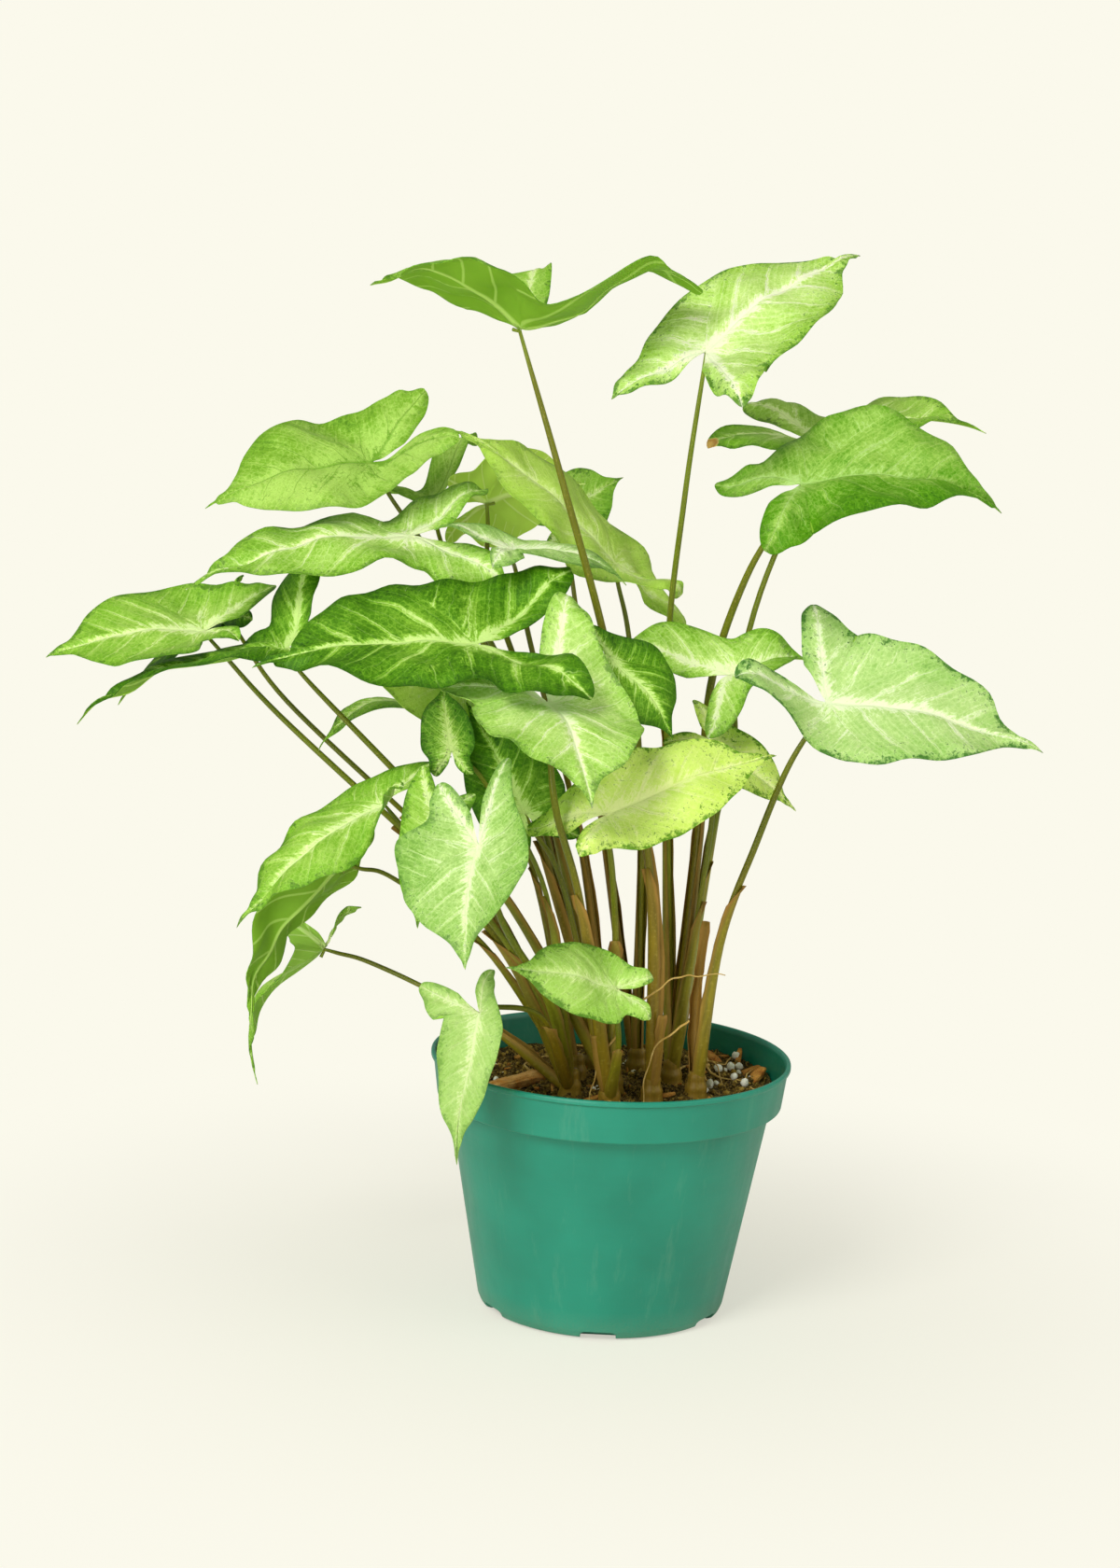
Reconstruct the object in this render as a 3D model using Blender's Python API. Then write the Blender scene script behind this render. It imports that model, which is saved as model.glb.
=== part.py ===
"""Arrowhead plant (Syngonium) in a green plastic nursery pot, in metres, +Z up.

The origin is the middle of the pot's underside. X runs to the right and Y away from the side
that the plant shows best. A leaf is set by four points (the junction of blade and petiole, the
tip, and the tips of its two back lobes) and by a few sizes and angles, in millimetres and
degrees. Every leafy stem is one grown piece: a short upright stem with the sheathing petioles
that leave it.
"""

import math
from collections import namedtuple

import bpy
import numpy as np

MM = 0.001
GAP = 0.3

# Pot, in millimetres
RIM_RADIUS = 82.5
POT_HEIGHT = 118
BASE_RADIUS = 57
SHOULDER_RADIUS = 74
BAND_HEIGHT = 20
BAND_FOOT_RADIUS = 79
WALL = 1.5
LIP = 1.2
FLOOR = 2.5
CORNER = 4
POT_SIDES = 48
DRAIN_SLOTS = 6
DRAIN_WIDTH = 16
DRAIN_HEIGHT = 4
DRAIN_REACH = 9

# Soil, in millimetres
SOIL_TOP = 104
SOIL_BUMP = 1.5
SOIL_RINGS = 6
SOIL_SIDES = 36

# Leaves and stems, in millimetres
BLADE_THICKNESS = 0.7
EDGE_STEPS = 4
EDGE_PICKS = (0, 4, 8, 12, 16, 19, 22, 25, 28, 31, 34, 37, 40)
RING_SHARES = (0.0, 0.36, 0.7, 1.0)
WAVES = 2.5
GOLDEN_ANGLE = 2.4
CORE_RADIUS = 5.5
CORE_TIP_RADIUS = 3.6
CORE_DEPTH = 16
CORE_RISE = 12
CORE_SIDES = 12
SHEATH_RADIUS = 3.3
SHEATH_END = 0.5
TIP_RADIUS = 0.9
KEEL = 4.0
APPROACH = 6.0
ROUTE_STEPS = 2

# One half of a blade's edge: its body in shares of the blade's length and half width, then its
# back lobe in shares of the lobe's length along and outwards, down to the junction.
BODY_EDGE = ((1, 0), (0.93, 0.11), (0.8, 0.42), (0.57, 0.83), (0.3, 1.03), (0.06, 1.06))
LOBE_EDGE = ((0.6, 0.38), (0.86, 0.2), (1, 0), (0.8, -0.14), (0.38, -0.16), (0, 0))
FLAT_LOBE = (-0.38, 0.3)
LEAST_SPREAD = 0.46
SOFTENING = 0.02

# Where each leafy stem stands on the soil.
STEMS = {
    "a": (-18, -22),
    "b": (-16, 3),
    "c": (0, -36),
    "d": (1, -12),
    "e": (12, 20),
    "f": (19, -26),
    "g": (28, 4),
    "h": (39, -17),
    "i": (-8, 23),
}

# A blade: its junction, its tip, its left and right lobe tips (as seen from the junction towards
# the tip with the face up, or None for a lobe that lies flat), its half width, the turn about its
# midrib, the rise of its halves, the height of its lengthwise arch, the droop of its margins and
# the height of its waves. Its petiole: the stem that it leaves, the points that it passes and its
# radius at mid length. Last, how far the back lobes rise in the middle.
Leaf = namedtuple(
    "Leaf", "junction tip left right width roll fold arch droop wave stem via girth rise", defaults=(2.5,)
)

LEAVES = {
    "top_left": Leaf((-54, -30, 447), (-113, -85, 465), (23, -10, 466), (-50, 20, 463),
                     27, 12, 8, 13, 3, 2.2, "f", ((17, -26, 192), (-8, -27, 301), (-33, -36, 383)), 1.9, 9),
    "top_right": Leaf((27, -10, 440), (93, 35, 482), (-13, -20, 420), (43, -50, 417),
                      32, 25, 0, 8, 4, 2.2, "g", ((22, 12, 200), (17, 16, 301), (21, -2, 375)), 1.4),
    "upper_right": Leaf((84, 45, 400), (154, 35, 408), (48, 80, 410), (30, 20, 398),
                        22, 16, 10, 8, 3, 3.3, "g", ((44, 20, 239), (56, 34, 321)), 1.4),
    "dark_right": Leaf((72, -15, 384), (158, -15, 378), (35, 15, 380), (56, -50, 357),
                       34, 38, 24, 12, 3, 2.2, "g", ((35, 10, 219), (37, 12, 288), (50, -2, 340)), 1.9),
    "broad_right": Leaf((88, -24, 289), (180, -38, 274), (81, 6, 327), (45, -47, 303),
                        31, 42, 5, 8, 2, 2.2, "h", ((46, -20, 176), (60, -24, 224), (72, -26, 259)), 1.7),
    "mid_right": Leaf((46, -6, 297), (79, 0, 304), (-3, -4, 306), (36, -25, 271),
                      18, 30, 30, 4, 2, 1.5, "g", ((41, 4, 219), (49, 7, 262)), 1.4),
    "yellow_front": Leaf((-7, -73, 243), (64, -43, 266), (-42, -54, 231), (-18, -93, 227),
                         22, 50, 10, 6, 2, 1.5, "c", ((0, -38, 170), (-3, -56, 212)), 1.5),
    "heart_front": Leaf((-34, -68, 290), (-13, -125, 257), (-28, -44, 333), (-81, -60, 294),
                        34, 0, 5, 8, 3, 1.5, "c", ((-16, -58, 198), (-29, -75, 246)), 1.7),
    "dark_front": Leaf((-67, -48, 311), (-159, -68, 299), (-15, -90, 298), (-27, -13, 339),
                       34, -30, 8, 8, 2, 2.2, "d", ((-28, -19, 195), (-50, -26, 264)), 1.8),
    "pale_left": Leaf((-101, 9, 351), (-195, -21, 328), (-57, -11, 333), (-69, 36, 371),
                      26, -20, 0, 8, 3, 2.2, "d", ((-28, -3, 216), (-56, 4, 292), (-84, 8, 333)), 1.6),
    "far_left": Leaf((-192, 0, 305), (-259, -12, 292), (-173, -25, 305), (-162, 20, 324),
                     31, -30, 0, 6, 2, 1.5, "b", ((-66, 0, 189), (-97, 0, 216), (-157, 0, 268)), 1.5),
    "behind_far_left": Leaf((-187, 34, 308), (-233, 24, 267), (-172, 14, 309), (-180, 49, 324),
                            16, 0, 0, 4, 2, 1.5, "b", ((-61, 10, 187), (-94, 14, 218), (-156, 22, 271)),
                            1.3),
    "edge_left": Leaf((-153, -25, 301), (-241, -30, 266), (-137, -50, 296), (-140, 5, 336),
                      20, 0, 10, 8, 2, 1.5, "d", ((-47, -18, 188), (-88, -24, 235), (-138, -25, 284)), 1.6),
    "lower_left": Leaf((-105, -45, 238), (-164, -65, 185), (-95, -62, 249), (-78, -35, 260),
                       21, -25, 0, 8, 2, 1.8, "a", ((-46, -36, 167), (-80, -42, 209)), 1.5),
    "drooping_left": Leaf((-123, -28, 207), (-162, -44, 138), (-131, -32, 222), (-107, -16, 226),
                          22, 52, 15, 10, 2, 2.2, "b", ((-60, -8, 168), (-101, -19, 199)), 1.3),
    "lowest_left": Leaf((-135, 5, 160), (-164, -5, 100), (-146, -5, 175), (-119, 18, 177),
                        14, 20, 0, 13, 2, 1.8, "a", ((-58, -14, 134), (-88, -6, 147), (-114, 0, 156)), 1.2),
    "over_rim": Leaf((-58, -80, 154), (-65, -95, 92), (-53, -76, 173), (-84, -75, 164),
                     13, 0, 10, 3, 1, 1.2, "a", ((-31, -55, 147), (-51, -70, 155)), 1.4),
    "small_front": Leaf((1, -66, 165), (-45, -91, 178), (15, -71, 152), (16, -57, 168),
                        18, -54, -5, 3, 1, 0.9, "c", ((3, -56, 136),), 1.3),
    "white_front": Leaf((-61, -85, 229), (-64, -112, 183), (-50, -70, 265), (-80, -75, 254),
                        31, 20, 22, 4, 2, 1.8, "a", ((-28, -40, 150), (-49, -66, 190)), 1.6),
    "back_centre": Leaf((-71, 72, 361), (-27, 100, 370), None, None,
                        24, -70, 5, 3, 2, 1.5, "i", ((-41, 46, 254), (-66, 64, 321)), 1.5),
    "yellow_back": Leaf((-8, 40, 339), (-83, 20, 399), (20, 17, 327), (26, 64, 306),
                        24, -40, 0, 6, 2, 1.5, "e", ((9, 30, 223), (0, 40, 300)), 1.4),
    "white_centre": Leaf((-55, -10, 349), (-4, -5, 337), (-89, -4, 357), (-62, -36, 343),
                         17, 10, 5, 5, 2, 1.5, "d", ((-18, 0, 216), (-44, 8, 301), (-52, 2, 335)), 1.5),
    "upper_left": Leaf((-122, 35, 381), (-191, 4, 360), (-81, 16, 394), (-100, 58, 411),
                       29, -38, 5, 8, 2, 2.2, "i", ((-34, 28, 213), (-70, 34, 305), (-112, 38, 364)), 1.4),
    "mid_left": Leaf((-97, 84, 362), (-149, 74, 360), None, (-78, 106, 389),
                     12, 0, 5, 5, 2, 3.0, "i", ((-36, 30, 234), (-87, 78, 331)), 1.4),
    "grey_centre": Leaf((-8, -43, 307), (20, -53, 275), (-21, -35, 321), None,
                        20, 35, 0, 5, 2, 1.5, "f", ((15, -34, 196), (4, -42, 264)), 1.6),
    "yellow_right": Leaf((39, -10, 266), (77, -11, 238), None, None,
                         13, 45, 0, 4, 2, 1.5, "g", ((40, -6, 226),), 1.3),
    "mottled_small": Leaf((-76, -50, 264), (-80, -49, 293), None, None,
                          12, -90, 10, 3, 1, 1.2, "a", ((-32, -38, 199), (-60, -44, 248)), 1.2),
    "dark_middle": Leaf((-43, -32, 234), (-70, -36, 282), None, None,
                        20, -80, 5, 4, 1, 1.5, "c", ((-24, -30, 199),), 1.4),
    "yellow_left": Leaf((-72, -20, 286), (-124, -40, 302), None, None,
                        23, -50, 0, 4, 2, 1.5, "d", ((-27, -16, 201), (-46, -16, 252)), 1.4),
    "behind_back": Leaf((-36, 116, 350), (-9, 106, 373), None, None,
                        20, 70, 0, 3, 1, 1.5, "e", ((-12, 54, 232), (-28, 121, 312)), 1.3),
    "arched_left": Leaf((-98, 0, 278), (-137, -10, 256), None, None,
                        14, 0, 0, 8, 2, 1.5, "b", ((-40, 4, 203), (-72, 4, 257)), 1.2),
    "behind_white": Leaf((-80, -62, 232), (-86, -77, 191), None, (-88, -58, 258),
                         16, 0, 0, 4, 2, 1.5, "a", ((-40, -34, 162), (-72, -58, 211)), 1.3),
}

# Torn and dried ends of old sheaths: the stem that each belongs to and the points along it.
OLD_SHEATHS = (
    ("h", ((37, -12, 140), (40, -9, 184))),
    ("f", ((21, -30, 128), (22, -34, 146))),
    ("g", ((32, 8, 130), (36, 12, 152))),
    ("c", ((-5, -40, 122), (-8, -44, 138))),
)

# A chip of bark on the soil: its middle, its length, width and height, and its turn about Z.
BARK_PLACE = (-42, -12, 106)
BARK_SIZE = (38, 8, 5)
BARK_TURN = 43


def unit(vector):
    return vector / np.linalg.norm(vector)


def smooth_path(points, steps):
    """Catmull-Rom curve through the points, with this many steps between each two of them."""
    points = np.asarray(points, float)
    padded = np.vstack([2 * points[0] - points[1], points, 2 * points[-1] - points[-2]])
    place = np.linspace(0, len(points) - 1, steps * (len(points) - 1) + 1)
    first = np.minimum(place.astype(int), len(points) - 2)
    part = (place - first)[:, None]
    a, b, c, d = (padded[first + k] for k in range(4))
    square = 2 * a - 5 * b + 4 * c - d
    cube = 3 * b - a - 3 * c + d
    return 0.5 * (2 * b + (c - a) * part + square * part**2 + cube * part**3)


class Blade:
    """A leaf's mid surface: two flat halves that meet in the midrib, bent by its arch, the droop
    and waves of its margins and the pull of each back lobe to its own tip."""

    def __init__(self, leaf, number):
        self.leaf = leaf
        self.number = number
        self.origin = np.array(leaf.junction, float)
        along = np.array(leaf.tip, float) - self.origin
        self.length = np.linalg.norm(along)
        self.along = along / self.length
        level = unit(np.array([0, 0, 1.0]) - self.along[2] * self.along)
        sideways = np.cross(self.along, level)
        turn = math.radians(leaf.roll)
        self.face = level * math.cos(turn) + sideways * math.sin(turn)
        self.sideways = np.cross(self.along, self.face)

    def lobe_target(self, side):
        """Where this half's lobe ends in space, or None for a flat lobe."""
        target = self.leaf.right if side > 0 else self.leaf.left
        return None if target is None else np.array(target, float)

    def half(self, side):
        """(sideways direction, lobe tip in the half's own plane) for the half at this side."""
        rise = math.radians(self.leaf.fold)
        out = side * self.sideways * math.cos(rise) + self.face * math.sin(rise)
        target = self.lobe_target(side)
        if target is None:
            return out, self.length * np.array(FLAT_LOBE)
        lobe = target - self.origin
        reach = np.linalg.norm(lobe)
        spread = max(lobe @ out, LEAST_SPREAD * reach)
        back = lobe @ self.along
        return out, np.array([back, spread]) * reach / math.hypot(back, spread)

    def outline(self, side):
        """One half's edge from the tip to the junction, as lengths along and across the midrib."""
        lobe = self.half(side)[1]
        outward = np.array([lobe[1], -lobe[0]])
        body = np.array(BODY_EDGE) * (self.length, self.leaf.width)
        wing = np.array([along * lobe + across * outward for along, across in LOBE_EDGE])
        return smooth_path(np.vstack([body, wing]), EDGE_STEPS)

    def lift(self, along, across):
        """Height of the arch and the drooping margin above the half's plane."""
        share = along / self.length
        bend = np.sqrt(share**2 + SOFTENING) - math.sqrt(SOFTENING)
        eased = (share + bend) / (1 + math.sqrt(1 + SOFTENING) - math.sqrt(SOFTENING))
        return 4 * self.leaf.arch * eased * (1 - eased) - self.leaf.droop * (across / self.leaf.width) ** 2

    def points(self, side, flat, edge_place, ring):
        """Points in space of one half, from flat places, places along the edge and ring shares."""
        out, lobe = self.half(side)
        along, across = flat[..., 0], flat[..., 1]
        planar = self.origin + lobe[0] * self.along + lobe[1] * out + self.lift(*lobe) * self.face
        target = self.lobe_target(side)
        shift = np.zeros(3) if target is None else target - planar
        share = np.clip((flat @ lobe) / (lobe @ lobe), 0, 1)
        pull = share**2 * (3 - 2 * share)
        phase = GOLDEN_ANGLE * self.number + side
        wave = np.sin(2 * math.pi * WAVES * edge_place + phase) * np.sin(math.pi * edge_place)
        swell = 6.75 * self.leaf.rise * share**2 * (1 - share)
        height = self.lift(along, across) + self.leaf.wave * wave * ring**2 + swell
        return (
            self.origin
            + along[..., None] * self.along
            + across[..., None] * out
            + height[..., None] * self.face
            + pull[..., None] * shift
        )

    def grid(self):
        """The blade's points, ring by ring outwards from the junction, and its triangles."""
        rows = []
        for ring in RING_SHARES[1:]:
            halves = []
            for side in (-1, 1):
                outline = self.outline(side)
                place = np.array(EDGE_PICKS) / (len(outline) - 1)
                edge = outline[list(EDGE_PICKS)]
                halves.append(self.points(side, edge * ring, place, ring))
            rows.append(np.vstack([halves[0][:0:-1], halves[1]]))
        count = len(rows[0])
        points = np.vstack([self.points(1, np.zeros((1, 2)), np.zeros(1), 0.0)] + rows)
        faces = [(0, 1 + i, 2 + i) for i in range(count - 1)]
        for row in range(len(rows) - 1):
            for i in range(count - 1):
                a = 1 + row * count + i
                b = a + count
                faces += [(a, b, b + 1), (a, b + 1, a + 1)]
        return points, faces


def material(name, colour, roughness):
    made = bpy.data.materials.get(name) or bpy.data.materials.new(name)
    made.use_nodes = True
    shader = made.node_tree.nodes["Principled BSDF"]
    shader.inputs["Base Color"].default_value = (*colour, 1)
    shader.inputs["Roughness"].default_value = roughness
    shader.inputs["Metallic"].default_value = 0
    return made


def new_object(name, points, faces, surface, smooth=True):
    """An object from points in millimetres."""
    mesh = bpy.data.meshes.new(name)
    mesh.from_pydata([tuple(p) for p in np.asarray(points) * MM], [], faces)
    mesh.update()
    if smooth:
        mesh.shade_smooth()
    mesh.materials.append(surface)
    made = bpy.data.objects.new(name, mesh)
    bpy.context.scene.collection.objects.link(made)
    return made


def applied(obj):
    """Replaces the object's mesh with what its modifiers make of it."""
    graph = bpy.context.evaluated_depsgraph_get()
    mesh = bpy.data.meshes.new_from_object(obj.evaluated_get(graph))
    obj.modifiers.clear()
    obj.data = mesh


def joined(base, others, operation="UNION"):
    """Fuses the other objects to the base, or cuts them from it, and removes them."""
    group = bpy.data.collections.new("joined")
    bpy.context.scene.collection.children.link(group)
    for other in others:
        for holder in list(other.users_collection):
            holder.objects.unlink(other)
        group.objects.link(other)
    boolean = base.modifiers.new("join", "BOOLEAN")
    boolean.operation = operation
    boolean.operand_type = "COLLECTION"
    boolean.collection = group
    boolean.solver = "MANIFOLD"
    applied(base)
    for other in others:
        bpy.data.objects.remove(other)
    bpy.data.collections.remove(group)


def turned(name, profile, sides, surface):
    """A closed profile of (radius, height) turned about Z."""
    radius, height = np.array(profile, float).T
    angle = 2 * math.pi * np.arange(sides) / sides
    ring = np.stack([np.cos(angle), np.sin(angle)], 1)
    points = []
    rows = []
    for r, z in zip(radius, height):
        start = len(points)
        if r == 0:
            points.append((0, 0, z))
            rows.append([start] * sides)
        else:
            points += [(r * c, r * s, z) for c, s in ring]
            rows.append([start + i for i in range(sides)])
    faces = []
    for low, high in zip(rows, rows[1:]):
        for i in range(sides):
            j = (i + 1) % sides
            face = []
            for vertex in (low[i], low[j], high[j], high[i]):
                if vertex not in face:
                    face.append(vertex)
            if len(face) > 2:
                faces.append(face)
    return new_object(name, points, faces, surface)


def inside_profile():
    """The pot's inner surface, (radius, height) from its floor up to the lip."""
    top = POT_HEIGHT - BAND_HEIGHT
    return [
        (BASE_RADIUS - CORNER - 0.5, FLOOR),
        (BASE_RADIUS - WALL, CORNER + 1),
        (SHOULDER_RADIUS - WALL, top + WALL - 1),
        (BAND_FOOT_RADIUS - WALL, top + WALL),
        (RIM_RADIUS - LIP - WALL, POT_HEIGHT - 2),
    ]


def make_pot(surface):
    top = POT_HEIGHT - BAND_HEIGHT
    outside = [
        (0, 0),
        (BASE_RADIUS - CORNER, 0),
        (BASE_RADIUS - 0.3 * CORNER, 0.3 * CORNER),
        (BASE_RADIUS, CORNER),
        (SHOULDER_RADIUS, top - 1),
        (SHOULDER_RADIUS + 1, top),
        (BAND_FOOT_RADIUS, top),
        (RIM_RADIUS - LIP, POT_HEIGHT - 3),
        (RIM_RADIUS, POT_HEIGHT - 2.4),
        (RIM_RADIUS, POT_HEIGHT - 0.6),
        (RIM_RADIUS - 0.6, POT_HEIGHT),
        (RIM_RADIUS - 1.6, POT_HEIGHT),
    ]
    pot = turned("pot", outside + inside_profile()[::-1] + [(0, FLOOR)], POT_SIDES, surface)
    cutters = []
    for i in range(DRAIN_SLOTS):
        bpy.ops.mesh.primitive_cube_add(size=1)
        cutter = bpy.context.object
        angle = 2 * math.pi * (i + 0.5) / DRAIN_SLOTS
        middle = BASE_RADIUS + 5 - DRAIN_REACH / 2
        cutter.scale = ((DRAIN_REACH + 10) * MM, DRAIN_WIDTH * MM, 2 * DRAIN_HEIGHT * MM)
        cutter.location = (middle * math.cos(angle) * MM, middle * math.sin(angle) * MM, 0)
        cutter.rotation_euler[2] = angle
        cutters.append(cutter)
    joined(pot, cutters, "DIFFERENCE")
    return pot


def soil_height(x, y):
    """The soil's surface: level, a little mounded in the middle, with soft lumps."""
    lumps = np.sin(0.11 * x + 1.3) * np.sin(0.13 * y + 0.4) + 0.5 * np.sin(0.27 * x - 0.21 * y)
    return SOIL_TOP - 2 + 3 * np.exp(-(x**2 + y**2) / 45**2) + SOIL_BUMP * lumps


def make_bark(name, grown, surface):
    """The chip of bark, or its recess in the soil when it is grown by some millimetres."""
    bpy.ops.mesh.primitive_cube_add(size=1)
    chip = bpy.context.object
    chip.name = name
    chip.scale = [(side + grown) * MM for side in BARK_SIZE]
    chip.location = [place * MM for place in BARK_PLACE]
    chip.rotation_euler = (0, math.radians(-4), math.radians(BARK_TURN))
    chip.data.materials.append(surface)
    return chip


def make_soil(surface):
    inset = 2 * GAP
    profile = [(0, FLOOR + GAP)]
    profile += [(radius - inset, height + GAP + 0.1) for radius, height in inside_profile()[:-1]]
    reach = profile[-1][0]
    profile += [(reach * k / SOIL_RINGS, SOIL_TOP) for k in range(SOIL_RINGS, -1, -1)]
    soil = turned("soil", profile, SOIL_SIDES, surface)
    for vertex in soil.data.vertices:
        x, y, z = np.array(vertex.co) / MM
        if z > SOIL_TOP - 0.1:
            vertex.co.z = soil_height(x, y) * MM
    holes = [make_bark("recess", 2 * GAP, surface)]
    for x, y in STEMS.values():
        bottom = SOIL_TOP - CORE_DEPTH - GAP
        above = SOIL_TOP + 9
        profile = [(0, bottom), (CORE_RADIUS + GAP, bottom), (CORE_RADIUS + GAP, above), (0, above)]
        hole = turned("hole", profile, CORE_SIDES, surface)
        hole.location = (x * MM, y * MM, 0)
        holes.append(hole)
    joined(soil, holes, "DIFFERENCE")
    return soil


def tube(name, path, radii, surface):
    """A round bar along a path of points, with this radius at each of them and closed ends."""
    curve = bpy.data.curves.new(name, "CURVE")
    curve.dimensions = "3D"
    curve.bevel_depth = MM
    curve.bevel_resolution = 1
    curve.use_fill_caps = True
    spline = curve.splines.new("POLY")
    spline.points.add(len(path) - 1)
    for point, place, radius in zip(spline.points, path, radii):
        point.co = (*np.array(place) * MM, 1)
        point.radius = radius
    made = bpy.data.objects.new(name, curve)
    bpy.context.scene.collection.objects.link(made)
    graph = bpy.context.evaluated_depsgraph_get()
    mesh = bpy.data.meshes.new_from_object(made.evaluated_get(graph))
    bpy.data.objects.remove(made)
    solid = bpy.data.objects.new(name, mesh)
    bpy.context.scene.collection.objects.link(solid)
    weld = solid.modifiers.new("weld", "WELD")
    weld.merge_threshold = 1e-6
    applied(solid)
    solid.data.shade_smooth()
    solid.data.materials.clear()
    solid.data.materials.append(surface)
    return solid


def petiole_path(leaf, blade):
    """From inside the stem's core, past the leaf's own points, to a short keel under the blade."""
    x, y = STEMS[leaf.stem]
    below = TIP_RADIUS + BLADE_THICKNESS / 2 + 1.5 * GAP
    under = blade.origin - below * blade.face
    approach = under - APPROACH * unit(under - np.array(leaf.via[-1], float))
    route = smooth_path([(x, y, SOIL_TOP + 2), *leaf.via, tuple(approach)], ROUTE_STEPS)
    return np.vstack([route, under, under + KEEL * blade.along])


def petiole_radii(leaf, path):
    """A wide sheath that narrows up to mid length, an even bar, and a finer end."""
    steps = np.linalg.norm(np.diff(path, axis=0), axis=1)
    share = np.concatenate([[0], np.cumsum(steps)]) / steps.sum()
    sheath = (SHEATH_RADIUS - leaf.girth) * np.clip((SHEATH_END - share) / 0.35, 0, 1)
    fine = (leaf.girth - TIP_RADIUS) * np.clip((share - SHEATH_END) / 0.48, 0, 1)
    return leaf.girth + sheath - fine


def make_stem(key, surface):
    x, y = STEMS[key]
    profile = [
        (0, SOIL_TOP - CORE_DEPTH),
        (CORE_RADIUS, SOIL_TOP - CORE_DEPTH),
        (CORE_RADIUS, SOIL_TOP + 3),
        (CORE_TIP_RADIUS, SOIL_TOP + CORE_RISE),
        (0, SOIL_TOP + CORE_RISE + 1),
    ]
    core = turned("stem_" + key, profile, CORE_SIDES, surface)
    core.location = (x * MM, y * MM, 0)
    petioles = []
    for number, (name, leaf) in enumerate(LEAVES.items()):
        if leaf.stem == key:
            path = petiole_path(leaf, Blade(leaf, number))
            petioles.append(tube("petiole_" + name, path, petiole_radii(leaf, path), surface))
    for owner, (low, high) in OLD_SHEATHS:
        if owner == key:
            path = smooth_path([(x, y, SOIL_TOP + 3), low, high], ROUTE_STEPS)
            petioles.append(tube("old_sheath", path, np.linspace(3.0, 1.0, len(path)), surface))
    joined(core, petioles)
    return core


def make_blade(name, leaf, number, surface):
    points, faces = Blade(leaf, number).grid()
    made = new_object("leaf_" + name, points, faces, surface)
    skin = made.modifiers.new("thickness", "SOLIDIFY")
    skin.thickness = BLADE_THICKNESS * MM
    skin.offset = 0
    return made


def main():
    for old in list(bpy.data.objects):
        bpy.data.objects.remove(old)
    pot_plastic = material("pot polypropylene", (0.02, 0.30, 0.22), 0.35)
    potting_mix = material("potting mix", (0.06, 0.03, 0.015), 0.95)
    stem_skin = material("petiole skin", (0.17, 0.12, 0.02), 0.5)
    leaf_skin = material("leaf skin", (0.20, 0.50, 0.10), 0.4)
    bark = material("bark", (0.45, 0.20, 0.06), 0.9)
    make_pot(pot_plastic)
    make_bark("bark_chip", 0, bark)
    make_soil(potting_mix)
    for key in STEMS:
        make_stem(key, stem_skin)
    for number, (name, leaf) in enumerate(LEAVES.items()):
        make_blade(name, leaf, number, leaf_skin)


if __name__ == "__main__":
    main()
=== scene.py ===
"""Looks of a potted arrowhead plant: its leaves, stems, soil, pot and stage.

Run as a script in Blender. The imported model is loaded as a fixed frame, and each operator then
makes one piece or a group of like pieces that stands for a node of it or lies on it. Points are
worked out in millimetres, as whole arrays, and put into the meshes in metres. The origin is the
middle of the pot's underside, X runs to the right and Y away from the camera.
"""

import math
from collections import namedtuple

import bpy
import numpy as np
from bpy.props import FloatProperty
from bpy.props import FloatVectorProperty
from bpy.props import IntProperty
from bpy.props import PointerProperty
from mathutils import Matrix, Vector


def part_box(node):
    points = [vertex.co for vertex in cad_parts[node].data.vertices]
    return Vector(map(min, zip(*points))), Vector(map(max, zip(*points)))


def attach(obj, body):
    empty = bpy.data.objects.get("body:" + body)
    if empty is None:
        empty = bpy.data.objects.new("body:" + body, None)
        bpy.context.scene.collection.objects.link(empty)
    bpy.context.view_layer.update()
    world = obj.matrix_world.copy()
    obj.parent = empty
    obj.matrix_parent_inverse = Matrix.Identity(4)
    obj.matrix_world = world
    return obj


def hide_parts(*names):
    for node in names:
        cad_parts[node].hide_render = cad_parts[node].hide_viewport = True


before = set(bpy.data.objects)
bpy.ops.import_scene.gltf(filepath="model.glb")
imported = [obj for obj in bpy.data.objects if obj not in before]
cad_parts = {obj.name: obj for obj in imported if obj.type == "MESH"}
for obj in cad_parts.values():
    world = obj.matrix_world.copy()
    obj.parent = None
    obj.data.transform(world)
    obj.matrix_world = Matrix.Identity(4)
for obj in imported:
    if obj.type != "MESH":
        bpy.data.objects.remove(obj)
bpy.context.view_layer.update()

bl_info = {
    "name": "Potted arrowhead plant",
    "version": (1, 0, 0),
    "blender": (4, 5, 0),
    "location": "3D View > Sidebar > Plant",
    "description": "Builds the leaves, stems, soil and pot of a potted arrowhead plant",
    "category": "Add Mesh",
}

MM = 0.001

# The pot, in millimetres, from its rim down. The band is the taller ring below the lip, and the
# shoulder is where the wall meets the band's foot.
POT_HEIGHT = round(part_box("pot")[1][2] / MM)
RIM_RADIUS = 82.5
LIP = 1.2
BEAD = LIP + 0.2
BAND_HEIGHT = 20
BAND_FOOT = POT_HEIGHT - BAND_HEIGHT
BAND_FOOT_RADIUS = 79
SHOULDER_RADIUS = 74
BASE_RADIUS = 57
CORNER = 4
WALL = 1.5
FLOOR = 2.5
BASE_HOLLOW = 1.0
FILLET = 0.7
POT_SIDES = 160

# The drain slots, in millimetres: how far each is cut inwards from the base's edge and past it,
# and how round its section is, from 0 for a rectangle to 1 for an ellipse.
DRAIN_SLOTS = 6
DRAIN_WIDTH = 16
DRAIN_HEIGHT = 4
DRAIN_INWARDS = 9
DRAIN_PAST = 5
DRAIN_ROUNDNESS = 0.35
DRAIN_SIDES = 32

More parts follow.
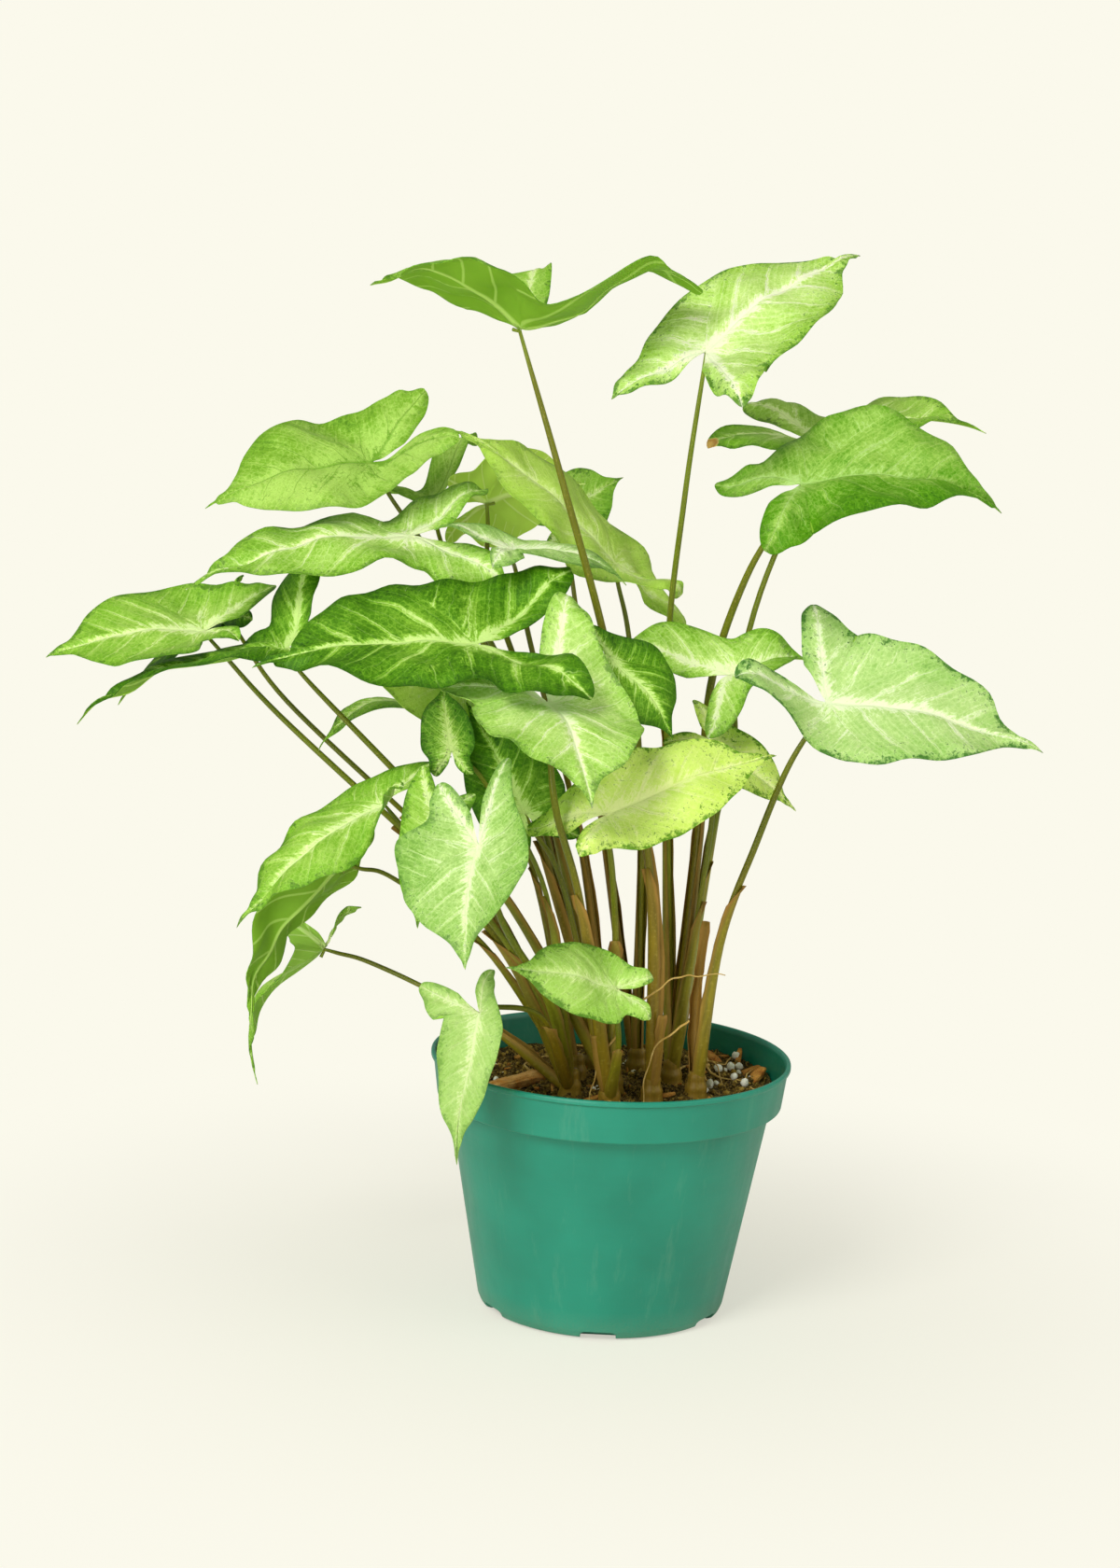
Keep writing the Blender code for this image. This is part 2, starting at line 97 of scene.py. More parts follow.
# The potting mix, in millimetres: its level, its lumps, the mound in its middle, the heap at the
# right and the back, its gap to the wall, and from where to where crumbs lie on it.
SOIL_TOP = 104
SOIL_BUMP = 1.5
MOUND_HEIGHT = 3
MOUND_RADIUS = 45
HEAP_HEIGHT = 4
HEAP_RADIUS = 28
HEAP_PLACE = (52, 36)
SOIL_RADIUS = 77.6
SOIL_GAP = 0.7
SOIL_RINGS = 90
SOIL_SIDES = 220
CRUMBS_FROM = 4.0
CRUMBS_TO = 76.0

# The mesh of a blade: rings from the junction to the margin, steps from one point of the edge to
# the next, and the share of the edge that is kept, since its last piece runs back to the junction.
RINGS = 30
EDGE_STEPS = 7
EDGE_KEPT = 40 / 44

# Half a blade's edge: along the midrib and across it, as shares of the length and the half width,
# then along and out from the line to the lobe's tip, as shares of that line. Last, the lobe tip of
# a half whose lobe lies flat, as shares of the length, and the least that a lobe stands out.
BODY_EDGE = ((1, 0), (0.93, 0.11), (0.8, 0.42), (0.57, 0.83), (0.3, 1.03), (0.06, 1.06))
LOBE_EDGE = ((0.6, 0.38), (0.86, 0.2), (1, 0), (0.8, -0.14), (0.38, -0.16), (0, 0))
FLAT_LOBE = (-0.38, 0.3)
LEAST_SPREAD = 0.46

# The drawn-out tip: from which share of the length, and how much longer and narrower it gets.
TIP_START = 0.72
TIP_LENGTH = 0.03
TIP_NARROWING = 0.4

# How many waves run along one margin, how far they shift from blade to blade, in radians, and how
# softly the arch turns at the junction.
WAVES = 2.5
GOLDEN_ANGLE = 2.4
SOFTENING = 0.02

# Relief of a blade. A blade of the full size, in millimetres, has all of it, and a smaller one
# less. The fields between the veins fade towards the margin and the midrib over these widths, the
# grooves, frills and dents have these sizes, and one part in so many of the edge, at the tip,
# stays smooth.
FULL_SIZE = 85
FIELD_FULLNESS = 0.7
MARGIN_FADE = 6
RIB_FADE = 8
MIDRIB_GROOVE = 2.2
LOBE_GROOVE = 2.0
FRILL_WIDTH = 11
DENT_SIZE = 38
EDGE_UNEVENNESS = 0.016
SMOOTH_PART = 9

# The pale centre: how much of it comes from the rings round the junction and how much follows the
# ribs, how far it reaches from them, and how much and how far a paler half adds to it.
RING_PALENESS = 0.55
RIB_PALENESS = 0.45
RIB_REACH = 7
PALE_HALF_GAIN = 0.4
PALE_HALF_REACH = 14

# Side veins: how many leave the midrib and each lobe's rib on one side, how far they lean towards
# the tip for each length outwards, how much more they bend near the margin, and by how much of
# their spacing those of the two halves stand apart. Then the distance that stands for no rib near.
SIDE_VEINS = 4.6
LOBE_VEINS = 2.4
VEIN_LEAN = 0.8
VEIN_BEND = 0.5
VEIN_OFFSET = 0.3
FAR_OFF = 9.0

# The short stem, in millimetres, with rings this far apart where old leaves stood.
CORE_RADIUS = 5.5
CORE_TIP_RADIUS = 3.6
CORE_DEPTH = 16
CORE_RISE = 12
CORE_RING_GAP = 5
CORE_STEPS = 24

# Petioles and sheaths, in millimetres: the radius of a petiole's fine end and the gap from it to
# the blade's middle surface, the keel under the blade and the straight run before it, and the
# swelling at the foot. The channel's depth is a share of the radius and its width is in radians,
# and the sheath ends at a share of the petiole's length.
TIP_RADIUS = 0.9
SEAT = 0.8
KEEL = 4.0
APPROACH = 6.0
FOOT_SWELLING = 0.5
CHANNEL_DEPTH = 0.22
CHANNEL_WIDTH = 0.5
SHEATH_RADIUS = 2.8
SHEATH_END = 0.5
SHEATH_TOP = SHEATH_END + 0.04
SHEATH_WALL = 0.4
OLD_SHEATH_WALL = 0.45
ROUTE_STEPS = 9
BAR_SIDES = 14
SHEATH_COLUMNS = 22

# Seeds of everything that is drawn at random, so that each run gives the same plant.
SOIL_SEED = 11
CRUMB_SEED = 21
PERLITE_SEED = 31
ROOT_SEED = 41
BARK_SEED = 51
CHIP_SEED = 60
DENT_SEED = 40
EDGE_SEED = 70
FRILL_SEED = 80
SHEATH_SEED = 200
OLD_SHEATH_SEED = 300

# Settings that many shader nodes share: a range with soft ends, and a mix of two colours.
SMOOTH = {"interpolation_type": "SMOOTHSTEP"}
COLOURS = {"out": 2, "data_type": "RGBA"}

# Where each leafy stem stands on the soil, in millimetres.
STEMS = {
    "a": (-18, -22),
    "b": (-16, 3),
    "c": (0, -36),
    "d": (1, -12),
    "e": (12, 20),
    "f": (19, -26),
    "g": (28, 4),
    "h": (39, -17),
    "i": (-8, 23),
}

# A blade: its junction, its tip, its left and right lobe tips (as seen from the junction towards
# the tip with the face up, or None for a lobe that lies flat), its half width, the turn about its
# midrib, the rise of its halves, the height of its lengthwise arch, the droop of its margins and
# the height of its waves. Its petiole: the stem that it leaves, the points that it passes and its
# radius at mid length. Last, how far the back lobes rise in the middle. Places and sizes are in
# millimetres and turns in degrees.
Leaf = namedtuple(
    "Leaf",
    "junction tip left right width roll fold arch droop wave stem via girth rise",
    defaults=(2.5,),
)

LEAVES = {
    "top_left": Leaf((-54, -30, 447), (-113, -85, 465), (23, -10, 466), (-50, 20, 463),
                     27, 12, 8, 13, 3, 2.2, "f", ((17, -26, 192), (-8, -27, 301), (-33, -36, 383)), 1.9, 9),
    "top_right": Leaf((27, -10, 440), (93, 35, 482), (-13, -20, 420), (43, -50, 417),
                      32, 25, 0, 8, 4, 2.2, "g", ((22, 12, 200), (17, 16, 301), (21, -2, 375)), 1.4),
    "upper_right": Leaf((84, 45, 400), (154, 35, 408), (48, 80, 410), (30, 20, 398),
                        22, 16, 10, 8, 3, 3.3, "g", ((44, 20, 239), (56, 34, 321)), 1.4),
    "dark_right": Leaf((72, -15, 384), (158, -15, 378), (35, 15, 380), (56, -50, 357),
                       34, 38, 24, 12, 3, 2.2, "g", ((35, 10, 219), (37, 12, 288), (50, -2, 340)), 1.9),
    "broad_right": Leaf((88, -24, 289), (180, -38, 274), (81, 6, 327), (45, -47, 303),
                        31, 42, 5, 8, 2, 2.2, "h", ((46, -20, 176), (60, -24, 224), (72, -26, 259)), 1.7),
    "mid_right": Leaf((46, -6, 297), (79, 0, 304), (-3, -4, 306), (36, -25, 271),
                      18, 30, 30, 4, 2, 1.5, "g", ((41, 4, 219), (49, 7, 262)), 1.4),
    "yellow_front": Leaf((-7, -73, 243), (64, -43, 266), (-42, -54, 231), (-18, -93, 227),
                         22, 50, 10, 6, 2, 1.5, "c", ((0, -38, 170), (-3, -56, 212)), 1.5),
    "heart_front": Leaf((-34, -68, 290), (-13, -125, 257), (-28, -44, 333), (-81, -60, 294),
                        34, 0, 5, 8, 3, 1.5, "c", ((-16, -58, 198), (-29, -75, 246)), 1.7),
    "dark_front": Leaf((-67, -48, 311), (-159, -68, 299), (-15, -90, 298), (-27, -13, 339),
                       34, -30, 8, 8, 2, 2.2, "d", ((-28, -19, 195), (-50, -26, 264)), 1.8),
    "pale_left": Leaf((-101, 9, 351), (-195, -21, 328), (-57, -11, 333), (-69, 36, 371),
                      26, -20, 0, 8, 3, 2.2, "d", ((-28, -3, 216), (-56, 4, 292), (-84, 8, 333)), 1.6),
    "far_left": Leaf((-192, 0, 305), (-259, -12, 292), (-173, -25, 305), (-162, 20, 324),
                     31, -30, 0, 6, 2, 1.5, "b", ((-66, 0, 189), (-97, 0, 216), (-157, 0, 268)), 1.5),
    "behind_far_left": Leaf((-187, 34, 308), (-233, 24, 267), (-172, 14, 309), (-180, 49, 324),
                            16, 0, 0, 4, 2, 1.5, "b", ((-61, 10, 187), (-94, 14, 218), (-156, 22, 271)),
                            1.3),
    "edge_left": Leaf((-153, -25, 301), (-241, -30, 266), (-137, -50, 296), (-140, 5, 336),
                      20, 0, 10, 8, 2, 1.5, "d", ((-47, -18, 188), (-88, -24, 235), (-138, -25, 284)), 1.6),
    "lower_left": Leaf((-105, -45, 238), (-164, -65, 185), (-95, -62, 249), (-78, -35, 260),
                       21, -25, 0, 8, 2, 1.8, "a", ((-46, -36, 167), (-80, -42, 209)), 1.5),
    "drooping_left": Leaf((-123, -28, 207), (-162, -44, 138), (-131, -32, 222), (-107, -16, 226),
                          22, 52, 15, 10, 2, 2.2, "b", ((-60, -8, 168), (-101, -19, 199)), 1.3),
    "lowest_left": Leaf((-135, 5, 160), (-164, -5, 100), (-146, -5, 175), (-119, 18, 177),
                        14, 20, 0, 13, 2, 1.8, "a", ((-58, -14, 134), (-88, -6, 147), (-114, 0, 156)), 1.2),
    "over_rim": Leaf((-58, -80, 154), (-65, -95, 92), (-53, -76, 173), (-84, -75, 164),
                     13, 0, 10, 3, 1, 1.2, "a", ((-31, -55, 147), (-51, -70, 155)), 1.4),
    "small_front": Leaf((1, -66, 165), (-45, -91, 178), (15, -71, 152), (16, -57, 168),
                        18, -54, -5, 3, 1, 0.9, "c", ((3, -56, 136),), 1.3),
    "white_front": Leaf((-61, -85, 229), (-64, -112, 183), (-50, -70, 265), (-80, -75, 254),
                        31, 20, 22, 4, 2, 1.8, "a", ((-28, -40, 150), (-49, -66, 190)), 1.6),
    "back_centre": Leaf((-71, 72, 361), (-27, 100, 370), None, None,
                        24, -70, 5, 3, 2, 1.5, "i", ((-41, 46, 254), (-66, 64, 321)), 1.5),
    "yellow_back": Leaf((-8, 40, 339), (-83, 20, 399), (20, 17, 327), (26, 64, 306),
                        24, -40, 0, 6, 2, 1.5, "e", ((9, 30, 223), (0, 40, 300)), 1.4),
    "white_centre": Leaf((-55, -10, 349), (-4, -5, 337), (-89, -4, 357), (-62, -36, 343),
                         17, 10, 5, 5, 2, 1.5, "d", ((-18, 0, 216), (-44, 8, 301), (-52, 2, 335)), 1.5),
    "upper_left": Leaf((-122, 35, 381), (-191, 4, 360), (-81, 16, 394), (-100, 58, 411),
                       29, -38, 5, 8, 2, 2.2, "i", ((-34, 28, 213), (-70, 34, 305), (-112, 38, 364)), 1.4),
    "mid_left": Leaf((-97, 84, 362), (-149, 74, 360), None, (-78, 106, 389),
                     12, 0, 5, 5, 2, 3.0, "i", ((-36, 30, 234), (-87, 78, 331)), 1.4),
    "grey_centre": Leaf((-8, -43, 307), (20, -53, 275), (-21, -35, 321), None,
                        20, 35, 0, 5, 2, 1.5, "f", ((15, -34, 196), (4, -42, 264)), 1.6),
    "yellow_right": Leaf((39, -10, 266), (77, -11, 238), None, None,
                         13, 45, 0, 4, 2, 1.5, "g", ((40, -6, 226),), 1.3),
    "mottled_small": Leaf((-76, -50, 264), (-80, -49, 293), None, None,
                          12, -90, 10, 3, 1, 1.2, "a", ((-32, -38, 199), (-60, -44, 248)), 1.2),
    "dark_middle": Leaf((-43, -32, 234), (-70, -36, 282), None, None,
                        20, -80, 5, 4, 1, 1.5, "c", ((-24, -30, 199),), 1.4),
    "yellow_left": Leaf((-72, -20, 286), (-124, -40, 302), None, None,
                        23, -50, 0, 4, 2, 1.5, "d", ((-27, -16, 201), (-46, -16, 252)), 1.4),
    "behind_back": Leaf((-36, 116, 350), (-9, 106, 373), None, None,
                        20, 70, 0, 3, 1, 1.5, "e", ((-12, 54, 232), (-28, 121, 312)), 1.3),
    "arched_left": Leaf((-98, 0, 278), (-137, -10, 256), None, None,
                        14, 0, 0, 8, 2, 1.5, "b", ((-40, 4, 203), (-72, 4, 257)), 1.2),
    "behind_white": Leaf((-80, -62, 232), (-86, -77, 191), None, (-88, -58, 258),
                         16, 0, 0, 4, 2, 1.5, "a", ((-40, -34, 162), (-72, -58, 211)), 1.3),
}

# Torn and dried ends of old sheaths: the stem that each belongs to and the points along it.
OLD_SHEATHS = (
    ("h", ((37, -12, 140), (40, -9, 184))),
    ("f", ((21, -30, 128), (22, -34, 146))),
    ("g", ((32, 8, 130), (36, 12, 152))),
    ("c", ((-5, -40, 122), (-8, -44, 138))),
)

# The large chip of bark on the soil: its middle and its length, width and height in millimetres,
# its turn about Z and its tilt in degrees.
BARK_PLACE = (-42, -12, 106)
BARK_SIZE = (38, 8, 5)
BARK_TURN = 43
BARK_TILT = 4

# Where the camera stands, in millimetres, and how it is turned, in degrees.
CAMERA_PLACE = (0, -1450.2, 501.2)
CAMERA_PITCH = 10.12
CAMERA_YAW = -1.14
CAMERA_ROLL = 2.5

# The lights: the place in metres, the width and the setting that holds the power of each. They
# all look at one point of the plant.
LIGHTS = {
    "key_light": ((-0.8, -1.45, 1.5), 0.8, "key_power"),
    "side_light": ((1.3, -0.5, 0.9), 1.2, "side_power"),
    "front_light": ((-0.8, -1.8, 0.25), 0.8, "front_power"),
}
LIGHT_AIM = (0, 0, 0.25)

# The floor's radius in millimetres and the corners of its edge.
FLOOR_RADIUS = 6000.0
FLOOR_SIDES = 64

# How brown a petiole is, from 0 for green to 1, for the leaves whose petioles the photograph
# shows. The others run from green to brown in no order.
BROWN_OF = {
    "top_left": 0.85,
    "top_right": 0.0,
    "upper_right": 0.2,
    "dark_right": 0.7,
    "broad_right": 0.55,
    "yellow_front": 0.5,
    "heart_front": 0.75,
    "dark_front": 0.9,
    "pale_left": 0.3,
    "far_left": 0.1,
    "behind_far_left": 0.45,
    "edge_left": 0.3,
    "lower_left": 0.6,
    "drooping_left": 0.4,
    "lowest_left": 0.6,
}

# The skin of each blade: its deep green, its green, the pale green of its centre, its veins and its
# dark margin, how light it is as a whole, and how much shows of its pale centre, of the halo along
# its veins, of the veins, of the dark margin and of the speckles.
Skin = namedtuple("Skin", "deep green centre vein margin light pale halo veins dark speckle")

SKINS = {
    "bright": Skin("#5c9018", "#a2d04e", "#d2ee92", "#f1f9d0", "#3f7a0c", 0.28, 0.46, 0.36, 0.8, 0.8, 1.0),
    "mid": Skin("#47800c", "#82b830", "#b4da64", "#e2f6aa", "#336a06", 0.24, 0.4, 0.36, 0.7, 0.7, 0.6),
    "dark": Skin("#1f4e00", "#528a0e", "#92c43c", "#cdec8a", "#1f4e00", 0.1, 0.5, 0.48, 0.6, 0.6, 0.5),
    "grey": Skin("#6c9e3e", "#9cc866", "#c6e292", "#ecf8cc", "#3f7626", 0.32, 0.42, 0.34, 0.6, 0.95, 1.0),
    "pale": Skin("#447a08", "#8abe38", "#c6e67e", "#ecf9c2", "#366c06", 0.21, 0.5, 0.36, 0.8, 0.6, 0.6),
    "heart": Skin("#558a18", "#9ccc50", "#cdea8c", "#eefac8", "#3c7210", 0.29, 0.5, 0.34, 0.95, 0.7, 0.4),
    "white": Skin("#5a8e2c", "#8ebc54", "#c4e28e", "#ecf8ca", "#407820", 0.24, 0.5, 0.34, 0.5, 0.6, 0.8),
    "yellow": Skin("#98ca30", "#c2e455", "#d6ee7c", "#ebf7a8", "#5c9018", 0.46, 0.3, 0.24, 0.5, 0.95, 1.3),
    "lime": Skin("#84b828", "#a6d048", "#c0e068", "#dcf09c", "#4e8614", 0.36, 0.3, 0.24, 0.5, 0.4, 0.5),
    "soft": Skin("#639624", "#98c84c", "#bade74", "#dcf2a4", "#3c7408", 0.32, 0.28, 0.24, 0.5, 0.8, 0.5),
    "plain": Skin("#487c0c", "#7eb02e", "#b4da66", "#76a82e", "#3c7408", 0.2, 0.5, 0.1, 0.7, 0.35, 0.3),
    "glossy": Skin("#2a6400", "#5a980e", "#9ac452", "#b8dc80", "#245600", 0.2, 0.42, 0.16, 0.4, 0.4, 0.3),
    "calm": Skin("#7eac44", "#9ec664", "#bcda84", "#e0eeb4", "#4e8424", 0.24, 0.36, 0.24, 0.6, 0.5, 0.4),
    "mottled": Skin("#245600", "#4e8a12", "#a2d050", "#daf29a", "#1f4e00", 0.2, 0.4, 0.4, 0.6, 0.7, 0.9),
}

# The underside of each blade: its two greens and its raised veins.
Under = namedtuple("Under", "green deep vein")

UNDERS = {
    "green": Under("#8ebe38", "#6a9c1c", "#bce070"),
    "light": Under("#aad85a", "#8abc3c", "#d0ee90"),
    "yellow": Under("#c0e25e", "#a4cc44", "#daf092"),
}

# The upper skin and the underside of each blade.
SKIN_OF = {
    "top_left": ("mid", "green"),
    "top_right": ("bright", "light"),
    "upper_right": ("mid", "green"),
    "dark_right": ("glossy", "green"),
    "broad_right": ("grey", "light"),
    "mid_right": ("pale", "light"),
    "yellow_front": ("yellow", "yellow"),
    "heart_front": ("heart", "light"),
    "dark_front": ("dark", "green"),
    "pale_left": ("pale", "light"),
    "far_left": ("mid", "green"),
    "behind_far_left": ("dark", "green"),
    "edge_left": ("dark", "green"),
    "lower_left": ("mid", "light"),
    "drooping_left": ("mid", "green"),
    "lowest_left": ("mid", "light"),
    "over_rim": ("calm", "light"),
    "small_front": ("soft", "light"),
    "white_front": ("white", "light"),
    "back_centre": ("lime", "yellow"),
    "yellow_back": ("lime", "yellow"),
    "white_centre": ("white", "light"),
    "upper_left": ("plain", "green"),
    "mid_left": ("plain", "green"),
    "grey_centre": ("dark", "green"),
    "yellow_right": ("yellow", "yellow"),
    "mottled_small": ("mottled", "green"),
    "dark_middle": ("dark", "green"),
    "yellow_left": ("lime", "yellow"),
    "behind_back": ("mid", "green"),
    "arched_left": ("mid", "green"),
    "behind_white": ("mid", "green"),
}

# Blades with one half paler than the other: the side of the pale half, -1 for the left one as
# seen from the junction towards the tip with the face up.
PALE_HALF = {"dark_right": -1, "upper_right": -1, "upper_left": -1}

# Where a blade has died back: the middle and the radius of the brown patch, in millimetres.
WITHERED = {
    "upper_right": ((30, 20, 398), 4.5),
    "top_left": ((-22, -13, 463), 3.5),
}

# What lies on the soil: the large grains of perlite, the larger chips of bark, with their length,
# width, turn and tilt, and the thin roots, as (x, y) points. Then dried strands in the air, with
# their radius and how flat they are.
PERLITE_PLACES = (
    (59, 44),
    (56, 27),
    (60, 31),
    (57, 6),
    (62, 3),
    (46, -2),
    (43, -13),
    (50, 20),
    (-28, 40),
)
CHIPS = (
    (48, 42, 15, 5, 118, 12),
    (60, 42, 12, 2.6, 80, 40),
    (65, 30, 12, 4, 35, 14),
    (68, 16, 13, 5, 60, 22),
    (-40, 44, 12, 3.2, 20, 6),
    (-56, -12, 12, 3, 140, 10),
    (24, -22, 12, 3, 10, 12),
    (-6, -30, 13, 3.4, 25, 10),
    (-20, 30, 10, 3, 60, 8),
    (40, 20, 10, 3, 160, 10),
)
ROOTS = (
    ((44, 30), (48, 12), (60, 6), (66, 20)),
    ((-36, 6), (-40, 24), (-30, 34), (-22, 28)),
    ((40, -30), (46, -42), (36, -54), (40, -62)),
    ((-8, -50), (-20, -58), (-34, -54)),
    ((10, 48), (24, 56), (34, 46), (46, 52)),
    ((-50, 30), (-58, 14), (-54, 0)),
    ((0, 60), (-16, 64), (-28, 56)),
    ((60, -30), (68, -16), (64, 0)),
    ((14, -58), (4, -66), (-8, -64)),
    ((35, 40), (41, 30), (46, 34), (43, 16), (45, 4), (43, -6), (40, -13)),
    ((36, 30), (44, 38), (52, 30), (56, 40)),
    ((30, 16), (38, 24), (46, 20), (44, 30)),
)
STRANDS = (
    (((13, -36, 153), (24, -36, 161), (32, -36, 165), (49, -36, 166)), 0.8, 0.6),
    (((34, -45, 147), (26, -45, 140), (19, -45, 132), (16, -45, 122), (15, -44, 104)), 1.2, 0.4),
    (((2, -40, 138), (-3, -40, 130), (-7, -40, 120), (-9, -40, 104)), 1.3, 0.45),
    (
        ((39, -17, 128), (39, -8, 140), (42, -5, 139), (41, -4, 134), (36, -5, 136), (38, -8, 142)),
        0.45,
        1.0,
    ),
    (((-23, 10, 134), (-24, 10, 129), (-21, 10, 123), (-19, 10, 104)), 0.8, 0.5),
    (((36, 4, 104), (42, -2, 114), (46, -6, 118), (50, -4, 112), (52, 0, 105)), 0.5, 1.0),
)


def unit(vector):
    """The vector at length 1."""
    return vector / np.linalg.norm(vector)


def linear(colour):
    """An sRGB hex colour as linear red, green, blue and alpha."""
    parts = np.array([int(colour[k : k + 2], 16) / 255 for k in (1, 3, 5)])
    curved = np.where(parts <= 0.04045, parts / 12.92, ((parts + 0.055) / 1.055) ** 2.4)
    return (*curved, 1.0)


def per(size):
    """Scale of a pattern on Object coordinates whose features are this many millimetres apart."""
    return 1000.0 / size


def eased(value):
    """Smooth step from 0 to 1 for shares between 0 and 1."""
    share = np.clip(value, 0, 1)
    return share**2 * (3 - 2 * share)


def circle(count):
    """Angles of this many even steps round a circle."""
    return 2 * math.pi * np.arange(count) / count


def squarish(angle, power):
    """Cosine and sine of the angles, each raised to a power between 0 and 1 with its sign kept,
    so that the circle turns squarer the smaller the power is."""
    wave = np.stack([np.cos(angle), np.sin(angle)])
    return np.sign(wave) * np.abs(wave) ** power


def smooth_path(points, steps):
    """Catmull-Rom curve through the points, with this many steps between each two of them."""
    points = np.asarray(points, float)
    padded = np.vstack([2 * points[0] - points[1], points, 2 * points[-1] - points[-2]])
    place = np.linspace(0, len(points) - 1, steps * (len(points) - 1) + 1)
    first = np.minimum(place.astype(int), len(points) - 2)
    part = (place - first)[:, None]
    a, b, c, d = (padded[first + k] for k in range(4))
    square = 2 * a - 5 * b + 4 * c - d
    cube = 3 * b - a - 3 * c + d
    return 0.5 * (2 * b + (c - a) * part + square * part**2 + cube * part**3)


def ripples(points, size, seed, count=24):
    """Smooth noise of about unit height: a sum of sines in random directions, of wavelengths
    from a half to three halves of this size, over all points at once."""
    draw = np.random.default_rng(seed)
    ways = draw.normal(size=(count, points.shape[-1]))
    ways /= np.linalg.norm(ways, axis=1)[:, None]
    waves = 2 * math.pi / (size * draw.uniform(0.5, 1.5, count))
    phases = draw.uniform(0, 2 * math.pi, count)
    angle = (points @ ways.T) * waves + phases
    return np.sin(angle).sum(-1) * math.sqrt(2 / count) * 0.7


def share_along(path):
    """How far each point is along the path, from 0 to 1, and the path's length."""
    steps = np.linalg.norm(np.diff(path, axis=0), axis=1)
    run = np.concatenate([[0], np.cumsum(steps)])
    return run / run[-1], run[-1]


def grid_faces(rows, columns, wrap):
    """Quads between neighbouring rows of a grid of points; wrap joins its last column to the first."""
    index = np.arange(rows * columns).reshape(rows, columns)
    if wrap:
        index = np.hstack([index, index[:, :1]])
    corners = (index[:-1, :-1], index[:-1, 1:], index[1:, 1:], index[1:, :-1])
    return np.stack(corners, -1).reshape(-1, 4)


def capped(rows, columns):
    """Faces of a closed shell: quads between rows that close into rings, and at each end a fan to
    one of the two points that follow the grid's own."""
    around = np.arange(columns)
    after = np.roll(around, -1)
    last = (rows - 1) * columns
    start = np.stack([after, around, np.full(columns, rows * columns)], 1)
    finish = np.stack([around + last, after + last, np.full(columns, rows * columns + 1)], 1)
    return [grid_faces(rows, columns, True), np.vstack([start, finish])]


def outward(points, faces):
    """The faces of a closed shell, turned round if its signed volume is below zero."""
    volume = 0.0
    for face in faces:
        for k in range(1, face.shape[1] - 1):
            corner = points[face[:, [0, k, k + 1]]]
            volume += np.einsum("ij,ij->i", corner[:, 0], np.cross(corner[:, 1], corner[:, 2])).sum()
    return faces if volume > 0 else [face[:, ::-1] for face in faces]


class Shells:
    """Collects closed shells, each with its values per point, and makes them one piece."""

    def __init__(self):
        self.points = []
        self.faces = []
        self.slots = []
        self.values = {}
        self.count = 0

    def add(self, points, faces, slot=0, **values):
        """Adds a shell of points and lists of equal faces. Each value is one number for the whole
        shell, or one for each of its points."""
        for face in outward(points, faces):
            self.faces.append(face + self.count)
            self.slots.append(np.full(len(face), slot))
        self.points.append(points)
        for name, value in values.items():
            shape = (len(points),) + np.shape(value)[1:]
            self.values.setdefault(name, []).append(np.broadcast_to(value, shape))
        self.count += len(points)
        return self

    def piece(self, name, skins, *nodes):
        """The object of all shells, standing for these nodes of the frame."""
        faces = [face.tolist() for part in self.faces for face in part]
        made = new_piece(name, np.vstack(self.points), faces, skins, *nodes)
        made.data.polygons.foreach_set("material_index", np.concatenate(self.slots).astype(np.int32))
        for key, parts in self.values.items():
            store(made.data, key, np.concatenate(parts))
        return made


def store(mesh, name, values):
    """Keeps a number or a vector for each point of the mesh under this name."""
    kind = "FLOAT" if values.ndim == 1 else "FLOAT_VECTOR"
    kept = mesh.attributes.new(name, kind, "POINT")
    kept.data.foreach_set("value" if values.ndim == 1 else "vector", values.ravel().astype(np.float32))


def new_piece(name, points, faces, skins, *nodes):
    """An object from points in millimetres. It rides on the root and stands for these nodes."""
    mesh = bpy.data.meshes.new(name)
    mesh.from_pydata((np.asarray(points) * MM).tolist(), [], faces)
    mesh.update()
    mesh.shade_smooth()
    for skin in skins:
        mesh.materials.append(skin)
    made = bpy.data.objects.new(name, mesh)
    bpy.context.scene.collection.objects.link(made)
    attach(made, "root")
    if nodes:
        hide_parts(*nodes)
    return made


def directions(path):
    """Directions of travel, to the side and to the top at each point of a path. The side is
    level and square to the way that the whole path leans, turned square to the travel."""
    travel = np.gradient(path, axis=0)
    travel /= np.linalg.norm(travel, axis=1)[:, None]
    level = np.cross(path[-1] - path[0], (0, 0, 1.0))
    level = unit(level) if np.linalg.norm(level) > 1e-3 else np.array([0, 1.0, 0])
    side = level - (travel @ level)[:, None] * travel
    side /= np.linalg.norm(side, axis=1)[:, None]
    return travel, side, np.cross(side, travel)


def carried(path, across, up):
    """Points of a section carried along a path; row i holds the section's offsets at point i."""
    _, side, top = directions(path)
    return path[:, None] + across[..., None] * side[:, None] + up[..., None] * top[:, None]


def bar(path, across, up):
    """A closed shell: a section carried along a path, with a point at the middle of each end."""
    body = carried(path, across, up).reshape(-1, 3)
    return np.vstack([body, path[0], path[-1]]), capped(*across.shape)


def on_stalk(turn, run):
    """Where points lie on a stalk, for the pattern of its skin: on a circle of radius 1 round it,
    and along it in millimetres."""
    return np.stack([np.cos(turn), np.sin(turn), run], -1)


